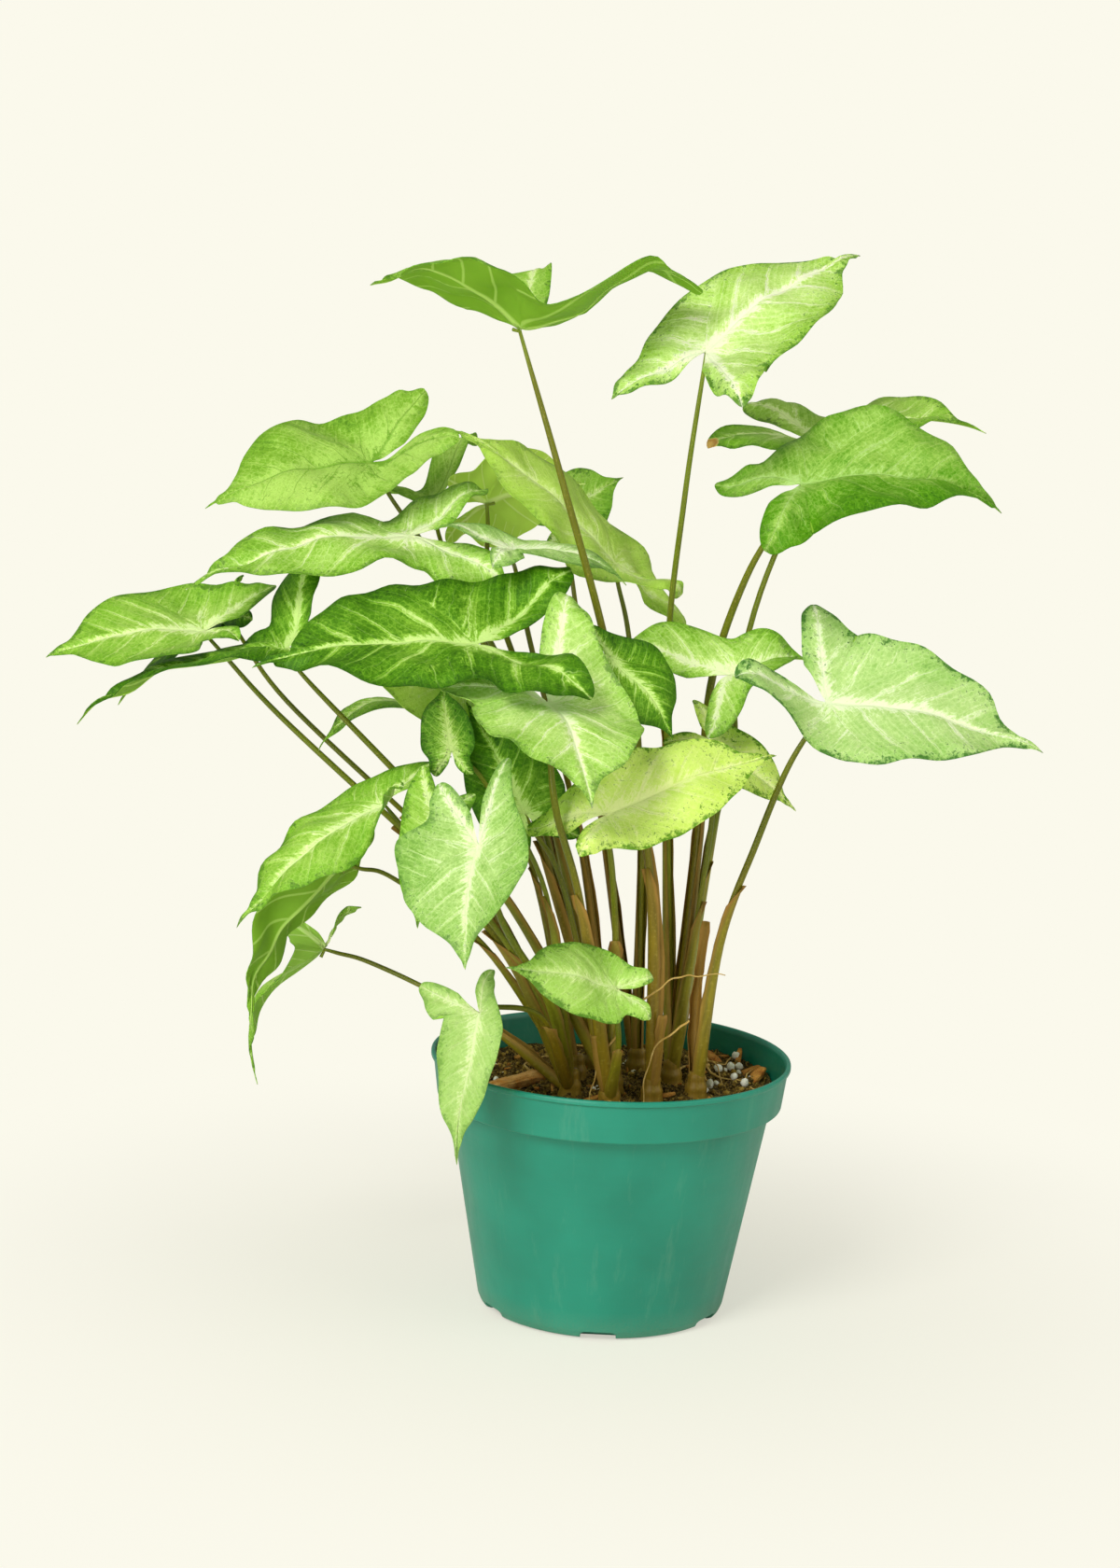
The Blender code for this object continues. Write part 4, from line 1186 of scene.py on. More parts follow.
def chip(place, size, turn, tilt, seed):
    """A splinter of bark: a squarish flat section carried along its length, narrower at its ends
    by a fourth power, with ridges that are noise drawn out along its grain. The size is in
    millimetres, the turn about Z and the tilt in degrees. Returns its points and faces."""
    length, width, height = size
    turn, tilt = math.radians(turn), math.radians(tilt)
    way = np.array([math.cos(turn) * math.cos(tilt), math.sin(turn) * math.cos(tilt), math.sin(tilt)])
    along = np.linspace(-0.5, 0.5, 50)
    path = np.array(place, float) + along[:, None] * length * way
    angle = circle(40)
    sideways, upwards = squarish(angle, 0.6)
    narrow = 1 - 0.4 * np.abs(2 * along) ** 4
    grain = (6 * np.cos(angle)[None], 6 * np.sin(angle)[None], 0.12 * length * along[:, None])
    around = np.stack(np.broadcast_arrays(*grain), -1)
    ridge = 1 + 0.1 * ripples(around, 3.0, seed) + 0.06 * ripples(around * (1, 1, 5), 2.0, seed + 1)
    across = narrow[:, None] * ridge * sideways * width / 2
    up = narrow[:, None] * ridge * upwards * height / 2
    return bar(path, across, up)


def make_bark(wood):
    """The large chip of bark."""
    large = chip(BARK_PLACE, BARK_SIZE, BARK_TURN, BARK_TILT, BARK_SEED)
    return Shells().add(*large).piece("bark", [wood], "bark_chip")


def add(tree, kind, inputs=None, out=0, **settings):
    """Adds a shader node of a kind with its settings, sets or links its inputs, and gives one of
    its outputs, or all of them where out is None. Input 0 of a Map Range is its value, 1 and 2 the
    range that it comes from, 3 and 4 the range that it goes to. Input 0 of a Mix is the share of
    its second value; its two numbers are 2 and 3 and its two colours 6 and 7."""
    made = tree.nodes.new("ShaderNode" + kind)
    for key, value in settings.items():
        setattr(made, key, value)
    for key, value in (inputs or {}).items():
        if isinstance(value, bpy.types.NodeSocket):
            tree.links.new(value, made.inputs[key])
        else:
            made.inputs[key].default_value = value
    return made.outputs if out is None else made.outputs[out]


def new_surface(name, **constants):
    """A material with these constants on its shader's own sockets: (material, tree, shader)."""
    made = bpy.data.materials.new(name)
    made.use_nodes = True
    shader = made.node_tree.nodes["Principled BSDF"]
    for key, value in constants.items():
        shader.inputs[key.replace("_", " ")].default_value = value
    return made, made.node_tree, shader


def leaf_fields(tree):
    """What half_grids has worked out for each point: how many veins lie up to it, how far it is
    from the margin, the midrib and the lobe's rib, and how pale it is. Behind the first side vein,
    where the midrib's own count is below zero, the count is that of the lobe's rib."""
    veins = add(tree, "Attribute", out="Vector", attribute_name="veins")
    ribs = add(tree, "Attribute", out="Vector", attribute_name="ribs")
    body, back, margin = add(tree, "SeparateXYZ", {0: veins}, None)
    midrib, lobe_rib, pale = add(tree, "SeparateXYZ", {0: ribs}, None)
    ahead = add(tree, "Math", {0: body, 1: 0.0}, operation="GREATER_THAN")
    count = add(tree, "Mix", {0: ahead, 2: back, 3: body})
    return count, margin, midrib, lobe_rib, pale


def from_vein(tree, count, noise, sway):
    """How far a point is from the next side vein, from 0 on it to 0.5 halfway between two. Noise
    sways the veins by this share of the space between them."""
    bent = add(tree, "Math", {0: noise, 1: sway, 2: count}, operation="MULTIPLY_ADD")
    return add(tree, "Math", {0: bent, 1: 0.5}, operation="PINGPONG")


def leaf_skin(name, skin, spot):
    """Upper skin of a leaf: waxy cells over green tissue, so a faint soft gloss over colour that
    changes by zones. Its tone rises towards the ribs and side veins and is broken up by noise
    drawn out along the side veins, so that a pale haze feathers into the green. Thin whitish veins
    and a faint net lie over it, the margin is darker and ragged, and dark speckles gather towards
    it. A died-back spot is brown with a yellow rim. The skin's cells are far too fine to show, so
    the finest noise is drawn at 1.8 mm."""
    made, tree, shader = new_surface(
        name,
        Roughness=0.5,
        IOR=1.4,
        Specular_IOR_Level=0.22,
        Subsurface_Weight=0.06,
        Subsurface_Radius=(0.4, 1.0, 0.15),
        Subsurface_Scale=1.0 * MM,
    )
    place = add(tree, "TexCoord", out="Object")
    count, margin, midrib, lobe_rib, pale = leaf_fields(tree)
    nearest = add(tree, "Math", {0: midrib, 1: lobe_rib}, operation="MINIMUM")
    inner = add(tree, "MapRange", {0: margin, 1: 1.5, 2: 14.0, 3: 0.1, 4: 1.0})

    # Noise, from broad patches down to specks, and streaks along the side veins.
    broad = add(tree, "TexNoise", {"Vector": place, "Scale": per(26), "Detail": 2.0})
    soft = add(tree, "TexNoise", {"Vector": place, "Scale": per(9), "Detail": 3.0, "Roughness": 0.6})
    fine = add(tree, "TexNoise", {"Vector": place, "Scale": per(1.8), "Detail": 4.0, "Roughness": 0.75})
    across = add(tree, "Math", {0: count, 1: 11.0}, operation="MULTIPLY")
    along = add(tree, "Math", {0: nearest, 1: 0.16}, operation="MULTIPLY")
    drawn = add(tree, "CombineXYZ", {0: across, 1: along, 2: broad})
    streaks = add(tree, "TexNoise", {"Vector": drawn, "Scale": 1.0, "Detail": 4.0, "Roughness": 0.65})

    # The vein lines: on each side vein, faintly halfway between two, and on both ribs.
    apart = from_vein(tree, count, soft, 0.34)
    line = add(tree, "MapRange", {0: apart, 1: 0.006, 2: 0.026, 3: 1.0, 4: 0.0}, **SMOOTH)
    lines = add(tree, "Math", {0: line, 1: inner}, operation="MULTIPLY")
    between = add(tree, "MapRange", {0: apart, 1: 0.478, 2: 0.498, 3: 0.0, 4: 0.25}, **SMOOTH)
    between = add(tree, "Math", {0: between, 1: inner}, operation="MULTIPLY")
    rib = add(tree, "MapRange", {0: midrib, 1: 0.4, 2: 1.2, 3: 1.0, 4: 0.0}, **SMOOTH)
    side_rib = add(tree, "MapRange", {0: lobe_rib, 1: 0.3, 2: 1.0, 3: 1.0, 4: 0.0}, **SMOOTH)
    for other in (between, rib, side_rib):
        lines = add(tree, "Math", {0: lines, 1: other}, operation="MAXIMUM")

    # The haze: the distances to side veins and ribs, roughened by the streaks.
    feather = add(tree, "Math", {0: streaks, 1: -0.5}, operation="ADD")
    side_haze = add(tree, "Math", {0: feather, 1: -0.7, 2: apart}, operation="MULTIPLY_ADD")
    side_haze = add(tree, "MapRange", {0: side_haze, 1: 0.0, 2: 0.17, 3: 1.0, 4: 0.0}, **SMOOTH)
    for share in (inner, 0.65):
        side_haze = add(tree, "Math", {0: side_haze, 1: share}, operation="MULTIPLY")
    rib_haze = add(tree, "Math", {0: feather, 1: -14.0, 2: nearest}, operation="MULTIPLY_ADD")
    rib_haze = add(tree, "MapRange", {0: rib_haze, 1: 0.5, 2: 6.0, 3: 1.0, 4: 0.0}, **SMOOTH)
    halo = add(tree, "Math", {0: side_haze, 1: rib_haze}, operation="MAXIMUM")

    # The tone: haze, pale centre, noise and a fine net, each by its weight, looked up on a ramp
    # from the deep green to the colour of the veins.
    cells = {"Vector": place, "Scale": per(2.6), "Randomness": 1.0}
    net = add(tree, "TexVoronoi", cells, feature="DISTANCE_TO_EDGE")
    net = add(tree, "MapRange", {0: net, 1: 0.02, 2: 0.1, 3: 0.13, 4: 0.0})
    tone = skin.light - 1.13
    for part, weight in (
        (halo, skin.halo),
        (pale, skin.pale),
        (broad, 0.5),
        (soft, 0.4),
        (streaks, 0.7),
        (fine, 0.75),
    ):
        tone = add(tree, "Math", {0: part, 1: weight, 2: tone}, operation="MULTIPLY_ADD")
    tone = add(tree, "Math", {0: tone, 1: net}, operation="ADD", use_clamp=True)
    colour = add(tree, "ValToRGB", {0: tone})
    stops = colour.node.color_ramp.elements
    stops[0].color = linear(skin.deep)
    stops[1].color = linear(skin.vein)
    stops.new(0.36).color = linear(skin.green)
    stops.new(0.74).color = linear(skin.centre)

    # The ragged dark margin, the speckles that gather near it, and the vein lines over both.
    ragged = add(tree, "Math", {0: soft, 1: -14.0, 2: margin}, operation="MULTIPLY_ADD")
    ragged = add(tree, "Math", {0: fine, 1: -16.0, 2: ragged}, operation="MULTIPLY_ADD")
    dark = add(tree, "MapRange", {0: ragged, 1: -15.5, 2: -13.0, 3: skin.dark, 4: 0.0})
    specks = add(tree, "MapRange", {0: fine, 1: 0.56, 2: 0.66, 3: 0.0, 4: 1.0}, **SMOOTH)
    gathered = {0: ragged, 1: -14.0, 2: -1.0, 3: skin.speckle, 4: 0.06 * skin.speckle}
    gathered = add(tree, "MapRange", gathered)
    specks = add(tree, "Math", {0: specks, 1: gathered}, operation="MULTIPLY")
    shown = add(tree, "Math", {0: lines, 1: 0.95 * skin.veins}, operation="MULTIPLY")
    for share, tint in ((dark, skin.margin), (specks, skin.margin), (shown, skin.vein)):
        colour = add(tree, "Mix", {0: share, 6: colour, 7: linear(tint)}, **COLOURS)
    if spot:
        colour = withered_spot(tree, place, soft, colour, spot)
    tree.links.new(colour, shader.inputs["Base Color"])
    height = add(tree, "Math", {0: streaks, 1: 0.8, 2: fine}, operation="MULTIPLY_ADD")
    height = add(tree, "Math", {0: lines, 1: -0.6, 2: height}, operation="MULTIPLY_ADD")
    bump = add(tree, "Bump", {"Strength": 0.6, "Distance": 0.6 * MM, "Height": height})
    tree.links.new(bump, shader.inputs["Normal"])
    return made


def withered_spot(tree, place, soft, colour, spot):
    """Dead tissue round a point: tan, then brown and yellow rings of uneven width, which fade into
    the green."""
    middle, radius = spot
    reach = radius * MM
    ends = {0: place, 1: [part * MM for part in middle]}
    apart = add(tree, "VectorMath", ends, "Value", operation="DISTANCE")
    uneven = add(tree, "Math", {0: soft, 1: -reach, 2: apart}, operation="MULTIPLY_ADD")
    share = add(tree, "MapRange", {0: uneven, 1: 0.1 * reach, 2: 0.75 * reach, 3: 0.0, 4: 1.0})
    rings = add(tree, "ValToRGB", {0: share})
    stops = rings.node.color_ramp.elements
    stops[0].color = linear("#e0b464")
    stops[1].color = linear("#b9d860")
    stops.new(0.5).color = linear("#c48e40")
    stops.new(0.85).color = linear("#e6d07c")
    fade = add(tree, "MapRange", {0: share, 1: 0.8, 2: 1.0, 3: 1.0, 4: 0.0})
    return add(tree, "Mix", {0: fade, 6: colour, 7: rings}, **COLOURS)


def leaf_underside(name, under):
    """Lower skin of a leaf: no wax, so it is paler and more matt, with raised lighter veins and
    soft patches of two greens."""
    made, tree, shader = new_surface(
        name,
        Roughness=0.6,
        IOR=1.4,
        Specular_IOR_Level=0.25,
        Subsurface_Weight=0.1,
        Subsurface_Radius=(0.4, 1.0, 0.15),
        Subsurface_Scale=1.2 * MM,
    )
    place = add(tree, "TexCoord", out="Object")
    count, _, midrib, lobe_rib, _ = leaf_fields(tree)
    broad = add(tree, "TexNoise", {"Vector": place, "Scale": per(24), "Detail": 2.0})
    fine = add(tree, "TexNoise", {"Vector": place, "Scale": per(1.6), "Detail": 3.0})
    apart = from_vein(tree, count, broad, 0.2)
    line = add(tree, "MapRange", {0: apart, 1: 0.02, 2: 0.07, 3: 0.6, 4: 0.0}, **SMOOTH)
    rib = add(tree, "Math", {0: midrib, 1: lobe_rib}, operation="MINIMUM")
    rib = add(tree, "MapRange", {0: rib, 1: 0.8, 2: 2.2, 3: 0.9, 4: 0.0}, **SMOOTH)
    lines = add(tree, "Math", {0: line, 1: rib}, operation="MAXIMUM")
    colour = linear(under.green)
    for share, tint in ((broad, under.deep), (lines, under.vein)):
        colour = add(tree, "Mix", {0: share, 6: colour, 7: linear(tint)}, **COLOURS)
    tree.links.new(colour, shader.inputs["Base Color"])
    height = add(tree, "Math", {0: fine, 1: 0.4, 2: lines}, operation="MULTIPLY_ADD")
    bump = add(tree, "Bump", {"Strength": 0.4, "Distance": 0.5 * MM, "Height": height})
    tree.links.new(bump, shader.inputs["Normal"])
    return made


def petiole_skin():
    """Skin of a leaf stalk: smooth and lightly waxed, olive green that turns brown, tanned at its
    foot and greener in its upper half, with dark streaks and pale flecks along the fibres. A
    sheath's margins dry to thin, matt, reddish tan paper."""
    made, tree, shader = new_surface("petiole skin", IOR=1.45, Specular_IOR_Level=0.32)
    around = add(tree, "Attribute", out="Vector", attribute_name="around")
    grown, brown, papery = (
        add(tree, "Attribute", out="Fac", attribute_name=name) for name in ("grown", "brown", "papery")
    )
    drawn = add(tree, "VectorMath", {0: around, 1: (1.6, 1.6, 0.05)}, operation="MULTIPLY")
    streaks = add(tree, "TexNoise", {"Vector": drawn, "Scale": 1.6, "Detail": 4.0, "Roughness": 0.6})
    mottle = add(tree, "VectorMath", {0: around, 1: (1.0, 1.0, 0.35)}, operation="MULTIPLY")
    spots = add(tree, "TexNoise", {"Vector": mottle, "Scale": 2.2, "Detail": 3.0})
    colour = add(tree, "Mix", {0: brown, 6: linear("#98a428"), 7: linear("#8e7012")}, **COLOURS)
    for field, start, end, first, last, tint in (
        (grown, 0.0, 0.3, 0.5, 0.0, "#a07c28"),
        (grown, 0.4, 0.65, 0.0, 0.7, "#587010"),
        (grown, 0.92, 1.0, 0.0, 0.6, "#98b83c"),
        (streaks, 0.35, 0.7, 0.0, 0.55, "#564e10"),
        (spots, 0.55, 0.75, 0.0, 0.35, "#c4b050"),
    ):
        share = add(tree, "MapRange", {0: field, 1: start, 2: end, 3: first, 4: last})
        colour = add(tree, "Mix", {0: share, 6: colour, 7: linear(tint)}, **COLOURS)
    paper = add(tree, "Mix", {0: streaks, 6: linear("#c29a4e"), 7: linear("#906624")}, **COLOURS)
    colour = add(tree, "Mix", {0: papery, 6: colour, 7: paper}, **COLOURS)
    tree.links.new(colour, shader.inputs["Base Color"])
    rough = add(tree, "MapRange", {0: papery, 1: 0.0, 2: 1.0, 3: 0.32, 4: 0.8})
    tree.links.new(rough, shader.inputs["Roughness"])
    bump = add(tree, "Bump", {"Strength": 0.5, "Distance": 0.3 * MM, "Height": streaks})
    tree.links.new(bump, shader.inputs["Normal"])
    return made


def pot_plastic(settings):
    """Injection-moulded polypropylene: one colour all through and slightly translucent, with a
    satin gloss, fine rings and a faint grain from the mould, scuffs, and dust near the ground. The
    inner wall, where the normal points towards the axis, is darker: painted shade where little
    light reaches it. The mould's grain is finer than a pixel and is drawn at 0.9 mm, so that it shows."""
    made, tree, shader = new_surface("pot polypropylene", IOR=1.49, Subsurface_Weight=0.1)
    shader.inputs["Subsurface Scale"].default_value = 1.5 * MM
    place = add(tree, "TexCoord", out="Object")
    height = add(tree, "SeparateXYZ", {0: place}, "Z")
    broad = add(tree, "TexNoise", {"Vector": place, "Scale": per(45), "Detail": 3.0})
    grain = add(tree, "TexNoise", {"Vector": place, "Scale": per(0.9), "Detail": 2.0})
    drawn = add(tree, "VectorMath", {0: place, 1: (per(9), per(9), per(90))}, operation="MULTIPLY")
    scuffs = add(tree, "TexNoise", {"Vector": drawn, "Scale": 1.0, "Detail": 6.0, "Roughness": 0.7})
    tone = add(tree, "MapRange", {0: broad, 1: 0.3, 2: 0.7, 3: 0.0, 4: 1.0})
    # Painted shade: the inner wall, where the normal points towards the axis, is mixed towards a dark green
    # that stands in for the shade inside the pot.
    facing = add(tree, "NewGeometry", out="Normal")
    outwards = add(tree, "VectorMath", {0: place, 1: facing}, "Value", operation="DOT_PRODUCT")
    inside = add(tree, "MapRange", {0: outwards, 1: -10 * MM, 2: -40 * MM, 3: 0.0, 4: 0.8})
    worn = add(tree, "MapRange", {0: scuffs, 1: 0.56, 2: 0.8, 3: 0.0, 4: 0.1})
    low = add(tree, "MapRange", {0: height, 1: 0.0, 2: 14 * MM, 3: 0.35, 4: 0.0})
    dusty = add(tree, "Math", {0: low, 1: grain}, operation="MULTIPLY")
    colour = (*settings.colour, 1)
    for share, tint in (
        (tone, (*settings.deep_colour, 1)),
        (inside, (*settings.painted_inside_shade, 1)),
        (worn, linear("#b9d8b4")),
        (dusty, linear("#8a7a5a")),
    ):
        colour = add(tree, "Mix", {0: share, 6: colour, 7: tint}, **COLOURS)
    tree.links.new(colour, shader.inputs["Base Color"])
    rough = add(tree, "MapRange", {0: scuffs, 1: 0.3, 2: 0.75, 3: 0.3, 4: 0.5})
    tree.links.new(rough, shader.inputs["Roughness"])
    rings = add(tree, "Math", {0: height, 1: 2 * math.pi / (3.5 * MM)}, operation="MULTIPLY")
    rings = add(tree, "Math", {0: rings}, operation="SINE")
    relief = add(tree, "Math", {0: rings, 1: 0.25, 2: grain}, operation="MULTIPLY_ADD")
    bump = add(tree, "Bump", {"Strength": 0.12, "Distance": 0.3 * MM, "Height": relief})
    tree.links.new(bump, shader.inputs["Normal"])
    return made


def grainy(name, colours, size, depth, roughness):
    """A matt grainy stuff of three colours, such as peat, bark or perlite: noise of this size
    mixes the second into the first, and noise of a quarter of it lays grains of the third on them
    and roughens the surface. The size and the depth are in millimetres."""
    made, tree, shader = new_surface(name, Roughness=roughness, IOR=1.4)
    place = add(tree, "TexCoord", out="Object")
    coarse = add(tree, "TexNoise", {"Vector": place, "Scale": per(size), "Detail": 3.0})
    fine = add(tree, "TexNoise", {"Vector": place, "Scale": per(size / 4), "Detail": 4.0, "Roughness": 0.7})
    colour = linear(colours[0])
    for noise, start, end, most, tint in (
        (coarse, 0.35, 0.65, 1.0, colours[1]),
        (fine, 0.5, 0.7, 0.8, colours[2]),
    ):
        share = add(tree, "MapRange", {0: noise, 1: start, 2: end, 3: 0.0, 4: most})
        colour = add(tree, "Mix", {0: share, 6: colour, 7: linear(tint)}, **COLOURS)
    tree.links.new(colour, shader.inputs["Base Color"])
    bump = add(tree, "Bump", {"Strength": 0.8, "Distance": depth * MM, "Height": fine})
    tree.links.new(bump, shader.inputs["Normal"])
    return made


def floor_surface(settings):
    """The studio's pale paper: matt cream under the pot that turns into an evenly lit backdrop
    further out."""
    made, tree, shader = new_surface("studio paper", Roughness=0.9)
    shader.inputs["Base Color"].default_value = (*settings.paper, 1)
    place = add(tree, "TexCoord", out="Object")
    apart = add(tree, "VectorMath", {0: place}, "Value", operation="LENGTH")
    share = add(tree, "MapRange", {0: apart, 1: 0.05, 2: 0.42, 3: 0.55, 4: 1.0}, **SMOOTH)
    seen = add(tree, "LightPath", out="Is Camera Ray")
    share = add(tree, "Math", {0: share, 1: seen}, operation="MULTIPLY")
    glow = add(tree, "Emission", {0: (*settings.backdrop, 1), 1: 1.0})
    mixed = add(tree, "MixShader", {0: share, 1: shader.outputs[0], 2: glow})
    tree.links.new(mixed, tree.nodes["Material Output"].inputs[0])
    return made


def make_floor(settings):
    """The floor: one wide round sheet of paper at the height of the pot's underside."""
    angle = circle(FLOOR_SIDES)
    points = np.stack([np.cos(angle), np.sin(angle), np.zeros(FLOOR_SIDES)], -1) * FLOOR_RADIUS
    mesh = bpy.data.meshes.new("studio_floor")
    mesh.from_pydata((points * MM).tolist(), [], [list(range(FLOOR_SIDES))])
    mesh.materials.append(floor_surface(settings))
    floor = bpy.data.objects.new("studio_floor", mesh)
    bpy.context.scene.collection.objects.link(floor)


def make_backdrop(settings):
    """The even light from all round, and the plain backdrop that the camera sees in its place."""
    world = bpy.data.worlds.new("studio")
    world.use_nodes = True
    tree = world.node_tree
    seen = add(tree, "LightPath", out="Is Camera Ray")
    strength = add(tree, "MapRange", {0: seen, 3: settings.ambient, 4: 1.0})
    tree.nodes["Background"].inputs[0].default_value = (*settings.backdrop, 1)
    tree.links.new(strength, tree.nodes["Background"].inputs[1])
    bpy.context.scene.world = world


def make_lights(settings):
    """Soft square lights that all look at the plant: the key light from the upper left, a weaker
    one from the right and a low one in front."""
    for name, (place, size, power) in LIGHTS.items():
        light = bpy.data.lights.new(name, "AREA")
        light.size = size
        light.energy = getattr(settings, power)
        lamp = bpy.data.objects.new(name, light)
        lamp.location = place
        x, y, z = np.array(LIGHT_AIM) - np.array(place)
        lamp.rotation_euler = (math.atan2(math.hypot(x, y), -z), 0, math.atan2(y, x) - math.pi / 2)
        bpy.context.scene.collection.objects.link(lamp)


def make_camera(settings):
    """The camera, which stands and looks as the photograph's did, and the picture's exposure."""
    camera = bpy.data.objects.new("camera", bpy.data.cameras.new("camera"))
    bpy.context.scene.collection.objects.link(camera)
    pitch, yaw, roll = (math.radians(turn) for turn in (CAMERA_PITCH, CAMERA_YAW, CAMERA_ROLL))
    ahead = np.array([math.sin(yaw) * math.cos(pitch), math.cos(yaw) * math.cos(pitch), -math.sin(pitch)])
    level = unit(np.cross(ahead, (0, 0, 1.0)))
    upright = np.cross(level, ahead)
    right = math.cos(roll) * level + math.sin(roll) * upright
    top = -math.sin(roll) * level + math.cos(roll) * upright
    turn = np.eye(4)
    turn[:3, :3] = np.stack([right, top, -ahead], 1)
    turn[:3, 3] = np.array(CAMERA_PLACE) * MM
    camera.matrix_world = Matrix(turn.tolist())
    camera.data.lens = settings.lens
    camera.data.clip_start = 0.05
    scene = bpy.context.scene
    scene.camera = camera
    scene.view_settings.view_transform = "Standard"
    scene.view_settings.look = "None"
    scene.view_settings.exposure = settings.exposure


class LeafSettings(bpy.types.PropertyGroup):
    """Sizes of the blades."""

    thickness: FloatProperty(name="Thickness", description="Thickness of a blade", default=0.4 * MM,
                             min=0.2 * MM, max=0.7 * MM, subtype="DISTANCE", unit="LENGTH")
    quilting: FloatProperty(name="Quilting", description="How far a blade swells between its veins",
                            default=0.9 * MM, min=0.0, max=2 * MM, subtype="DISTANCE", unit="LENGTH")
    rumple: FloatProperty(name="Rumple", description="Height of a blade's broad, uneven bends",
                          default=1.9 * MM, min=0.0, max=4 * MM, subtype="DISTANCE", unit="LENGTH")
    frill: FloatProperty(name="Frill", description="Height of the fine waves of a blade's margin",
                         default=1.3 * MM, min=0.0, max=2 * MM, subtype="DISTANCE", unit="LENGTH")


class PotSettings(bpy.types.PropertyGroup):
    """Colours of the pot."""

    colour: FloatVectorProperty(name="Plastic", description="Colour of the pot's plastic", size=3,
                                subtype="COLOR", min=0.0, max=1.0, default=linear("#189076")[:3])
    deep_colour: FloatVectorProperty(name="Deep plastic", description="Where the wall is thicker", size=3,
                                     subtype="COLOR", min=0.0, max=1.0, default=linear("#107e66")[:3])
    # Painted shade: the dark green that the pot's inner wall is mixed towards, standing in for the shade
    # inside the pot.
    painted_inside_shade: FloatVectorProperty(name="Painted shade inside", description="Painted shade on the inner wall above the soil",
                                      size=3, subtype="COLOR", min=0.0, max=1.0,
                                      default=linear("#046a4c")[:3])


class SoilSettings(bpy.types.PropertyGroup):
    """What lies on the soil."""

    crumbs: IntProperty(name="Crumbs", description="How many crumbs lie on the soil",
                        default=3000, min=0, max=6000)
    perlite: IntProperty(name="Perlite", description="How many grains of perlite lie on the soil",
                         default=60, min=0, max=400)


class StageSettings(bpy.types.PropertyGroup):
    """The studio round the plant."""

    backdrop: FloatVectorProperty(name="Backdrop", description="Colour of the backdrop", size=3,
                                  subtype="COLOR", min=0.0, max=1.0, default=linear("#fbf9ec")[:3])
    paper: FloatVectorProperty(name="Paper", description="Colour of the paper under the pot", size=3,
                               subtype="COLOR", min=0.0, max=1.0, default=linear("#fbf9ec")[:3])
    key_power: FloatProperty(name="Key light", description="Power of the key light",
                             default=27.0, min=0.0, unit="POWER")
    ambient: FloatProperty(name="Ambient", description="Strength of the light from all round",
                           default=0.36, min=0.0, max=2.0)
    side_power: FloatProperty(name="Side light", description="Power of the side light",
                              default=6.0, min=0.0, unit="POWER")
    front_power: FloatProperty(name="Front light", description="Power of the low light in front",
                               default=10.0, min=0.0, unit="POWER")
    lens: FloatProperty(name="Lens", description="Focal length of the camera, in millimetres",
                        default=74.8, min=10.0, max=300.0)
    exposure: FloatProperty(name="Exposure", description="Exposure of the picture, in stops", default=0.0)


class PLANT_OT_pot(bpy.types.Operator):
    """Make the nursery pot"""

    bl_idname = "plant.pot"
    bl_label = "Pot"

    def execute(self, context):
        make_pot(pot_plastic(context.scene.plant_pot))
        return {"FINISHED"}


class PLANT_OT_soil(bpy.types.Operator):
    """Make the potting mix, with the crumbs, perlite, roots and bark that lie on it"""

    bl_idname = "plant.soil"
    bl_label = "Soil"

    def execute(self, context):
        settings = context.scene.plant_soil
        # Peat is damp, dark and crumbly, coir dry straw, bark warm wood with dark cracks, perlite
        # expanded glass, white with grey pores, and a root's skin dry and matt.
        peat = grainy("peat", ("#2e2004", "#6e550c", "#ccb05a"), 4, 1.6, 0.95)
        fibre = grainy("coir fibre", ("#86691e", "#bd9f48", "#2e2004"), 3, 0.5, 0.9)
        chips = grainy("bark chips", ("#a4641e", "#cc9440", "#5c3810"), 3, 0.4, 0.85)
        bark = grainy("pine bark", ("#cf8c3a", "#e8b86c", "#9a6420"), 5, 0.6, 0.85)
        expanded = grainy("perlite", ("#f6f5e6", "#e8e9d4", "#c4c8a8"), 1.6, 0.3, 0.8)
        root_skin = grainy("root skin", ("#c09a4a", "#d8ba70", "#8a6a2c"), 6, 0.2, 0.8)
        make_soil(peat)
        make_crumbs(settings, [peat, fibre, chips])
        make_perlite(settings, expanded)
        make_roots(root_skin)
        make_bark(bark)
        return {"FINISHED"}


class PLANT_OT_stems(bpy.types.Operator):
    """Make the leafy stems with their petioles and sheaths"""

    bl_idname = "plant.stems"
    bl_label = "Stems"

    def execute(self, context):
        skin = petiole_skin()
        for key in STEMS:
            make_stem(key, skin)
        return {"FINISHED"}


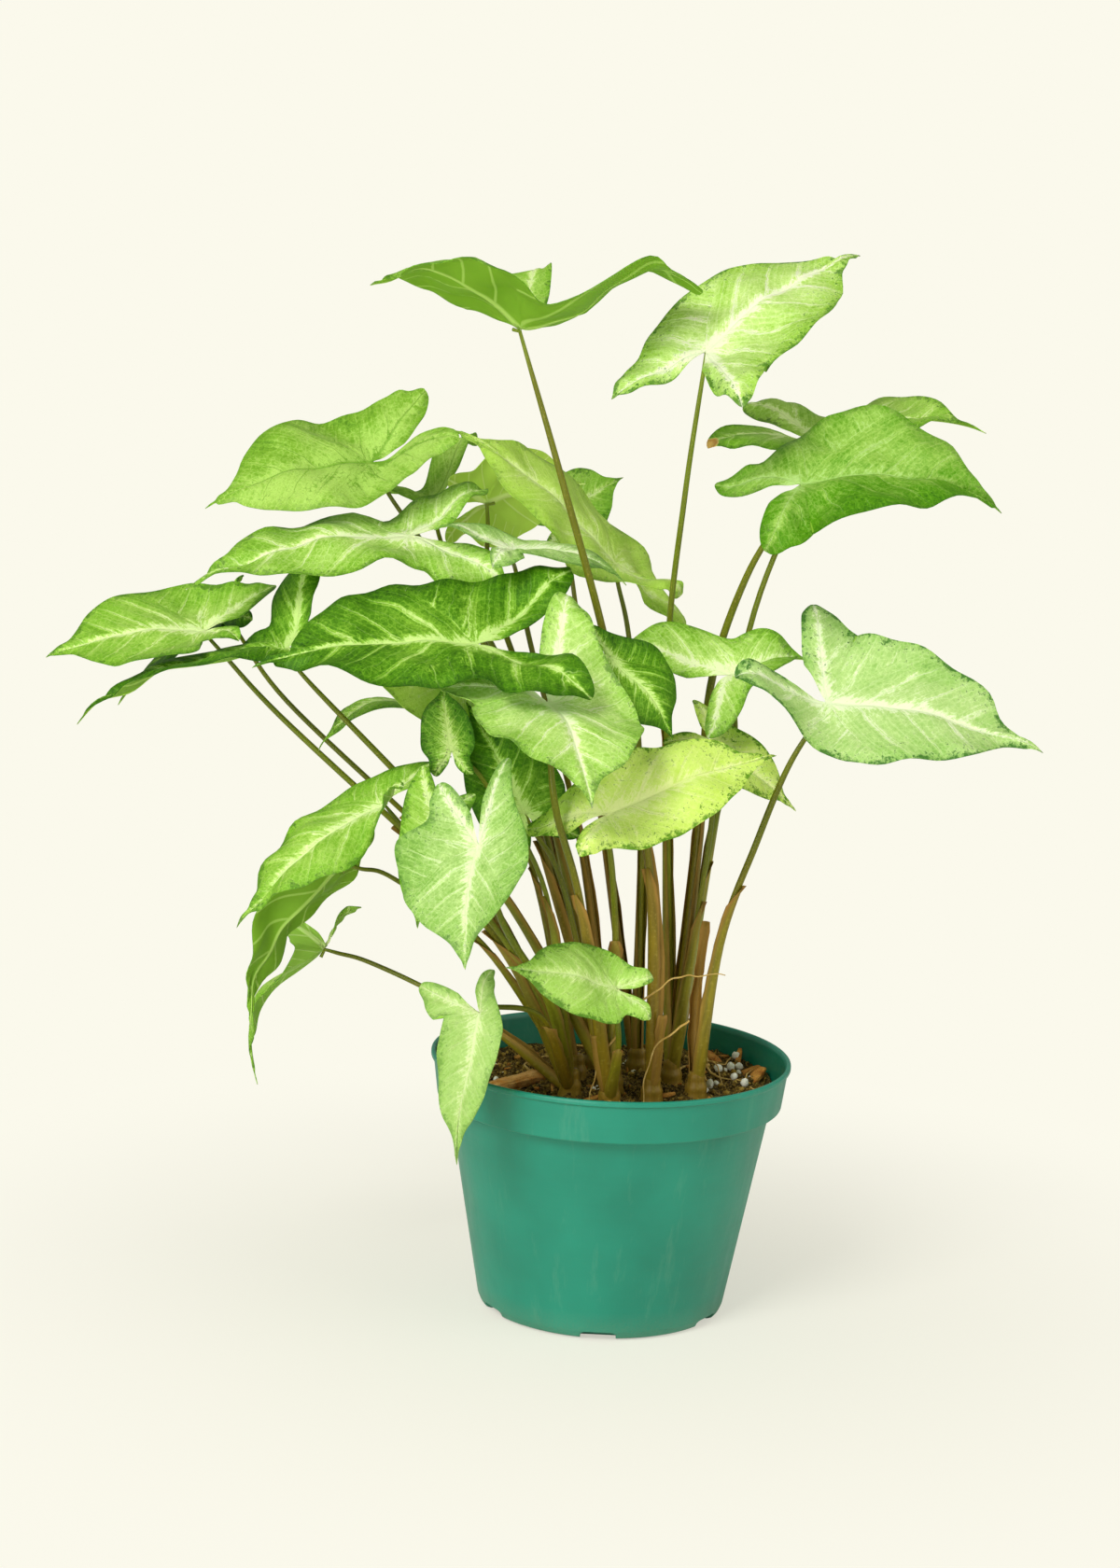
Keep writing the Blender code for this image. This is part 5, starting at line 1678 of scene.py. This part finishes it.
class PLANT_OT_leaves(bpy.types.Operator):
    """Make the leaf blades"""

    bl_idname = "plant.leaves"
    bl_label = "Leaves"

    def execute(self, context):
        settings = context.scene.plant_leaves
        made = {}
        for number, (name, leaf) in enumerate(LEAVES.items()):
            upper, lower = SKIN_OF[name]
            spot = WITHERED.get(name)
            over = "leaf skin, " + (upper + "_" + name if spot else upper)
            below = "leaf underside, " + lower
            if over not in made:
                made[over] = leaf_skin(over, SKINS[upper], spot)
            if below not in made:
                made[below] = leaf_underside(below, UNDERS[lower])
            make_leaf(name, leaf, number, settings, [made[over], made[below]])
        return {"FINISHED"}


class PLANT_OT_stage(bpy.types.Operator):
    """Make the floor, the lights and the camera"""

    bl_idname = "plant.stage"
    bl_label = "Stage"

    def execute(self, context):
        settings = context.scene.plant_stage
        make_floor(settings)
        make_backdrop(settings)
        make_lights(settings)
        make_camera(settings)
        return {"FINISHED"}


class PLANT_PT_panel(bpy.types.Panel):
    """Sizes and colours of the plant, and a button for each group of its pieces"""

    bl_idname = "PLANT_PT_panel"
    bl_label = "Potted arrowhead plant"
    bl_space_type = "VIEW_3D"
    bl_region_type = "UI"
    bl_category = "Plant"

    def draw(self, context):
        scene = context.scene
        for settings, operator in (
            (scene.plant_pot, PLANT_OT_pot),
            (scene.plant_soil, PLANT_OT_soil),
            (None, PLANT_OT_stems),
            (scene.plant_leaves, PLANT_OT_leaves),
            (scene.plant_stage, PLANT_OT_stage),
        ):
            box = self.layout.box()
            if settings:
                for key in settings.__annotations__:
                    box.prop(settings, key)
            box.operator(operator.bl_idname)


GROUPS = {
    "plant_pot": PotSettings,
    "plant_soil": SoilSettings,
    "plant_leaves": LeafSettings,
    "plant_stage": StageSettings,
}
OPERATORS = (PLANT_OT_pot, PLANT_OT_soil, PLANT_OT_stems, PLANT_OT_leaves, PLANT_OT_stage)
CLASSES = (*GROUPS.values(), *OPERATORS, PLANT_PT_panel)


def register():
    """Registers the classes, and gives the scene its groups of settings."""
    for kind in CLASSES:
        bpy.utils.register_class(kind)
    for name, group in GROUPS.items():
        setattr(bpy.types.Scene, name, PointerProperty(type=group))


def unregister():
    """Takes back what register has done, in the opposite order."""
    for name in GROUPS:
        delattr(bpy.types.Scene, name)
    for kind in reversed(CLASSES):
        bpy.utils.unregister_class(kind)


def main():
    """Makes every piece and the stage."""
    register()
    bpy.ops.plant.stage()
    bpy.ops.plant.pot()
    bpy.ops.plant.soil()
    bpy.ops.plant.stems()
    bpy.ops.plant.leaves()


if __name__ == "__main__":
    main()
